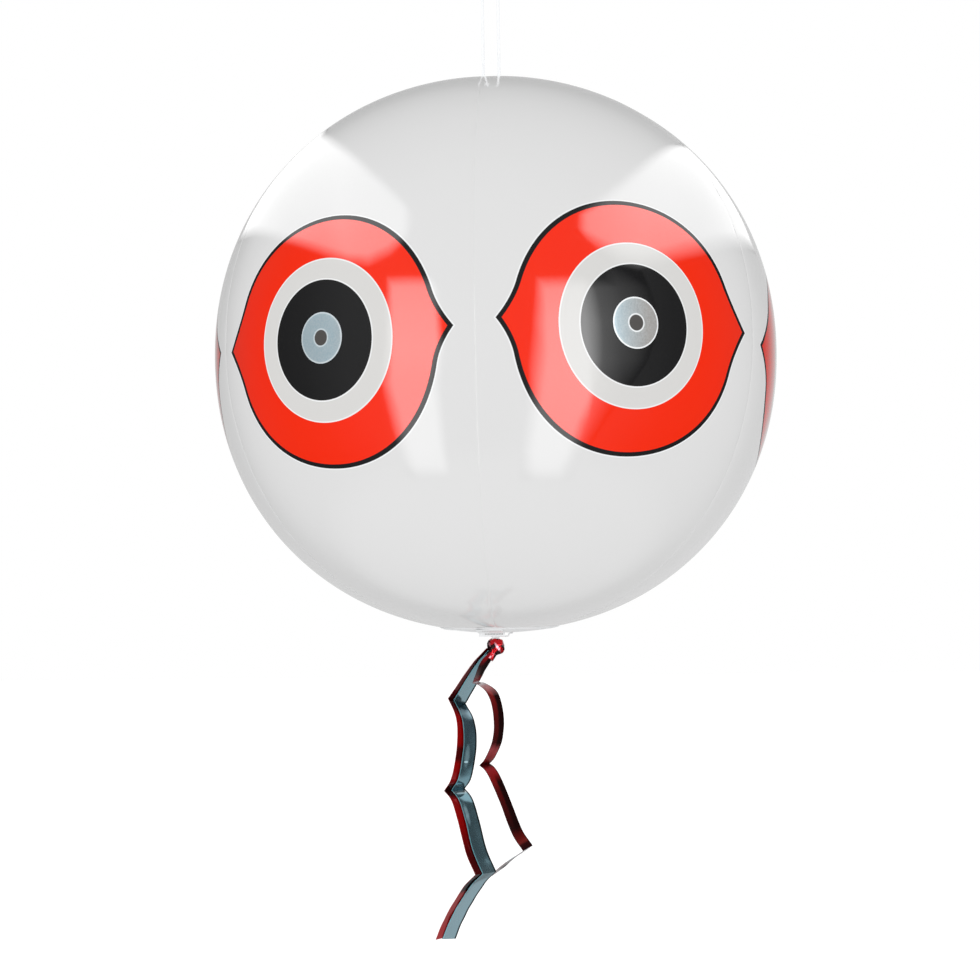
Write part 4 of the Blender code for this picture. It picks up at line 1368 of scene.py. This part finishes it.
def makeFloor():
    cells = bmesh.new()
    bmesh.ops.create_grid(cells, x_segments=1, y_segments=1, size=6)
    graph = newMaterial("paleFloor")
    diffuse = graph.node("ShaderNodeBsdfDiffuse", {}, {"Color": rgb(232, 232, 232)})
    glow = graph.shining(graph.node("ShaderNodeLightPath") * studio["floorGlow"])
    material = graph.finished(graph.node("ShaderNodeAddShader", {}, {0: diffuse, 1: glow}))
    mesh = meshOf("floor", cells, material, loose=False)
    mesh.transform(Matrix.Translation(upright(studio["floor"])))
    floor = newObject("floor", mesh)
    floor.visible_diffuse = False
    floor.visible_glossy = False


def makePanel(name, rows, strength, spot):
    # rows of places on an upright plane, in millimetres; each row has its level and its soft ends
    rows = [(row[0], list(zip(row[1::2], row[2::2]))) for row in rows]
    fades = (0, 1, 1, 0)
    if len(rows[0][1]) == 5:  # its last fall is a long one, steep at first
        fades = (0, 1, 1, 0.27, 0.14, 0)
        for level, places in rows:
            places.insert(4, tuple(near + (far - near) * 0.3 for near, far in zip(*places[3:])))
    cells = bmesh.new()
    sheetFaces(cells, [[cells.verts.new(spot(along / 1000, up / 1000)) for along, up in places]
                       for _, places in rows])
    graph = newMaterial(name)
    shine = graph.shining(graph.stored("soft", "Fac") * strength)
    mesh = meshOf(name, cells, graph.finished(shine), loose=False)
    levels = [level * fade for level, places in rows for fade in fades]
    mesh.attributes.new("soft", "FLOAT", "POINT").data.foreach_set("value", levels)
    panel = newObject(name, mesh)
    for kind in ("camera", "diffuse", "transmission", "shadow"):
        setattr(panel, "visible_" + kind, False)


leftBox = (
    (0, -671, 623, -682, 606, -710, 561, -719, 545),
    (1, -556, 635, -541, 569, -610, 443, -660, 406),
    (1, -386, 607, -384, 542, -520, 332, -574, 296),
    (1, -204, 573, -221, 517, -434, 256, -457, 209),
    (1, -10, 556, -44, 509, -340, 227, -364, 191),
    (0.8, 228, 550, 154, 501, -241, 220, -267, 188),
    (0.66, 502, 556, 441, 508, -100, 215, -127, 191),
    (0.6, 900, 600, 850, 560, 300, 240, 280, 210),
)
rightBox = (
    (0, -506, 474, -517, 456, -540, 410, -546, 397),
    (0.9, -446, 473, -442, 425, -475, 364, -506, 327),
    (0.95, -329, 461, -333, 401, -409, 290, -449, 248),
    (1, -212, 455, -228, 398, -341, 223, -368, 172),
    (1, -84, 463, -114, 408, -280, 196, -307, 146),
    (0.9, 100, 486, 47, 433, -220, 187, -241, 140),
    (0.68, 500, 540, 380, 490, -80, 188, -100, 145),
    (0.6, 1000, 640, 950, 600, 320, 220, 300, 190),
)
leftStrip = (
    (0, -276, 165, -244, 157, -124, 132, -106, 129),
    (0.9, -270, 129, -243, 123, -117, 101, -99, 99),
    (1, -268, 66, -235, 61, -110, 46, -90, 45),
    (1.06, -273, -20, -233, -23, -104, -30, -82, -31),
    (0.98, -307, -121, -254, -120, -128, -118, -98, -118),
    (0.96, -307, -218, -244, -210, -129, -202, -100, -201),
    (0.94, -319, -371, -252, -355, -142, -336, -109, -332),
    (0.85, -328, -459, -261, -438, -145, -413, -116, -409),
    (0, -350, -570, -290, -547, -167, -509, -134, -503),
)
rightStrip = (
    (0, 123, 126, 153, 129, 279, 153, 312, 161, 560, 420),
    (0.86, 118, 91, 150, 94, 265, 112, 325, 123, 760, 240),
    (1.02, 108, 20, 152, 22, 273, 31, 345, 38, 870, 114),
    (1.06, 98, -65, 155, -66, 283, -67, 350, -68, 700, -68),
    (1.04, 100, -144, 146, -147, 305, -162, 332, -165, 520, -190),
    (1, 94, -232, 143, -237, 272, -260, 325, -271, 420, -290),
    (0.96, 89, -348, 138, -356, 265, -391, 313, -407, 369, -428),
    (0.85, 95, -434, 157, -449, 251, -481, 307, -504, 366, -532),
    (0, 103, -536, 165, -555, 261, -596, 318, -626, 379, -661),
)


def makeLights():
    # soft boxes and strips, placed where the film mirrors them
    middle = ball["centre"].z
    aside, ahead = studio["panelAside"], studio["stripAhead"]
    for name, rows, x in (("leftBox", leftBox, -aside), ("rightBox", rightBox, aside)):
        makePanel(name, rows, studio["panel"], lambda along, up: (x, along, middle + up))
    for name, rows in (("leftStrip", leftStrip), ("rightStrip", rightStrip)):
        makePanel(name, rows, studio["strip"], lambda across, up: (across, -ahead, middle + up))
    for name, spot, power in studio["lamps"]:
        lamp = newObject(name, bpy.data.lights.new(name, "AREA"))
        lamp.data.energy = power
        lamp.data.size = studio["lampSize"]
        lamp.location = spot
        lamp.rotation_mode = "QUATERNION"
        lamp.rotation_quaternion = (ball["centre"] - Vector(spot)).to_track_quat("-Z", "Y")
        lamp.visible_glossy = False


makeWorld()
makeFloor()
makeLights()
bpy.context.scene.view_settings.view_transform = "Standard"
print("studio set")
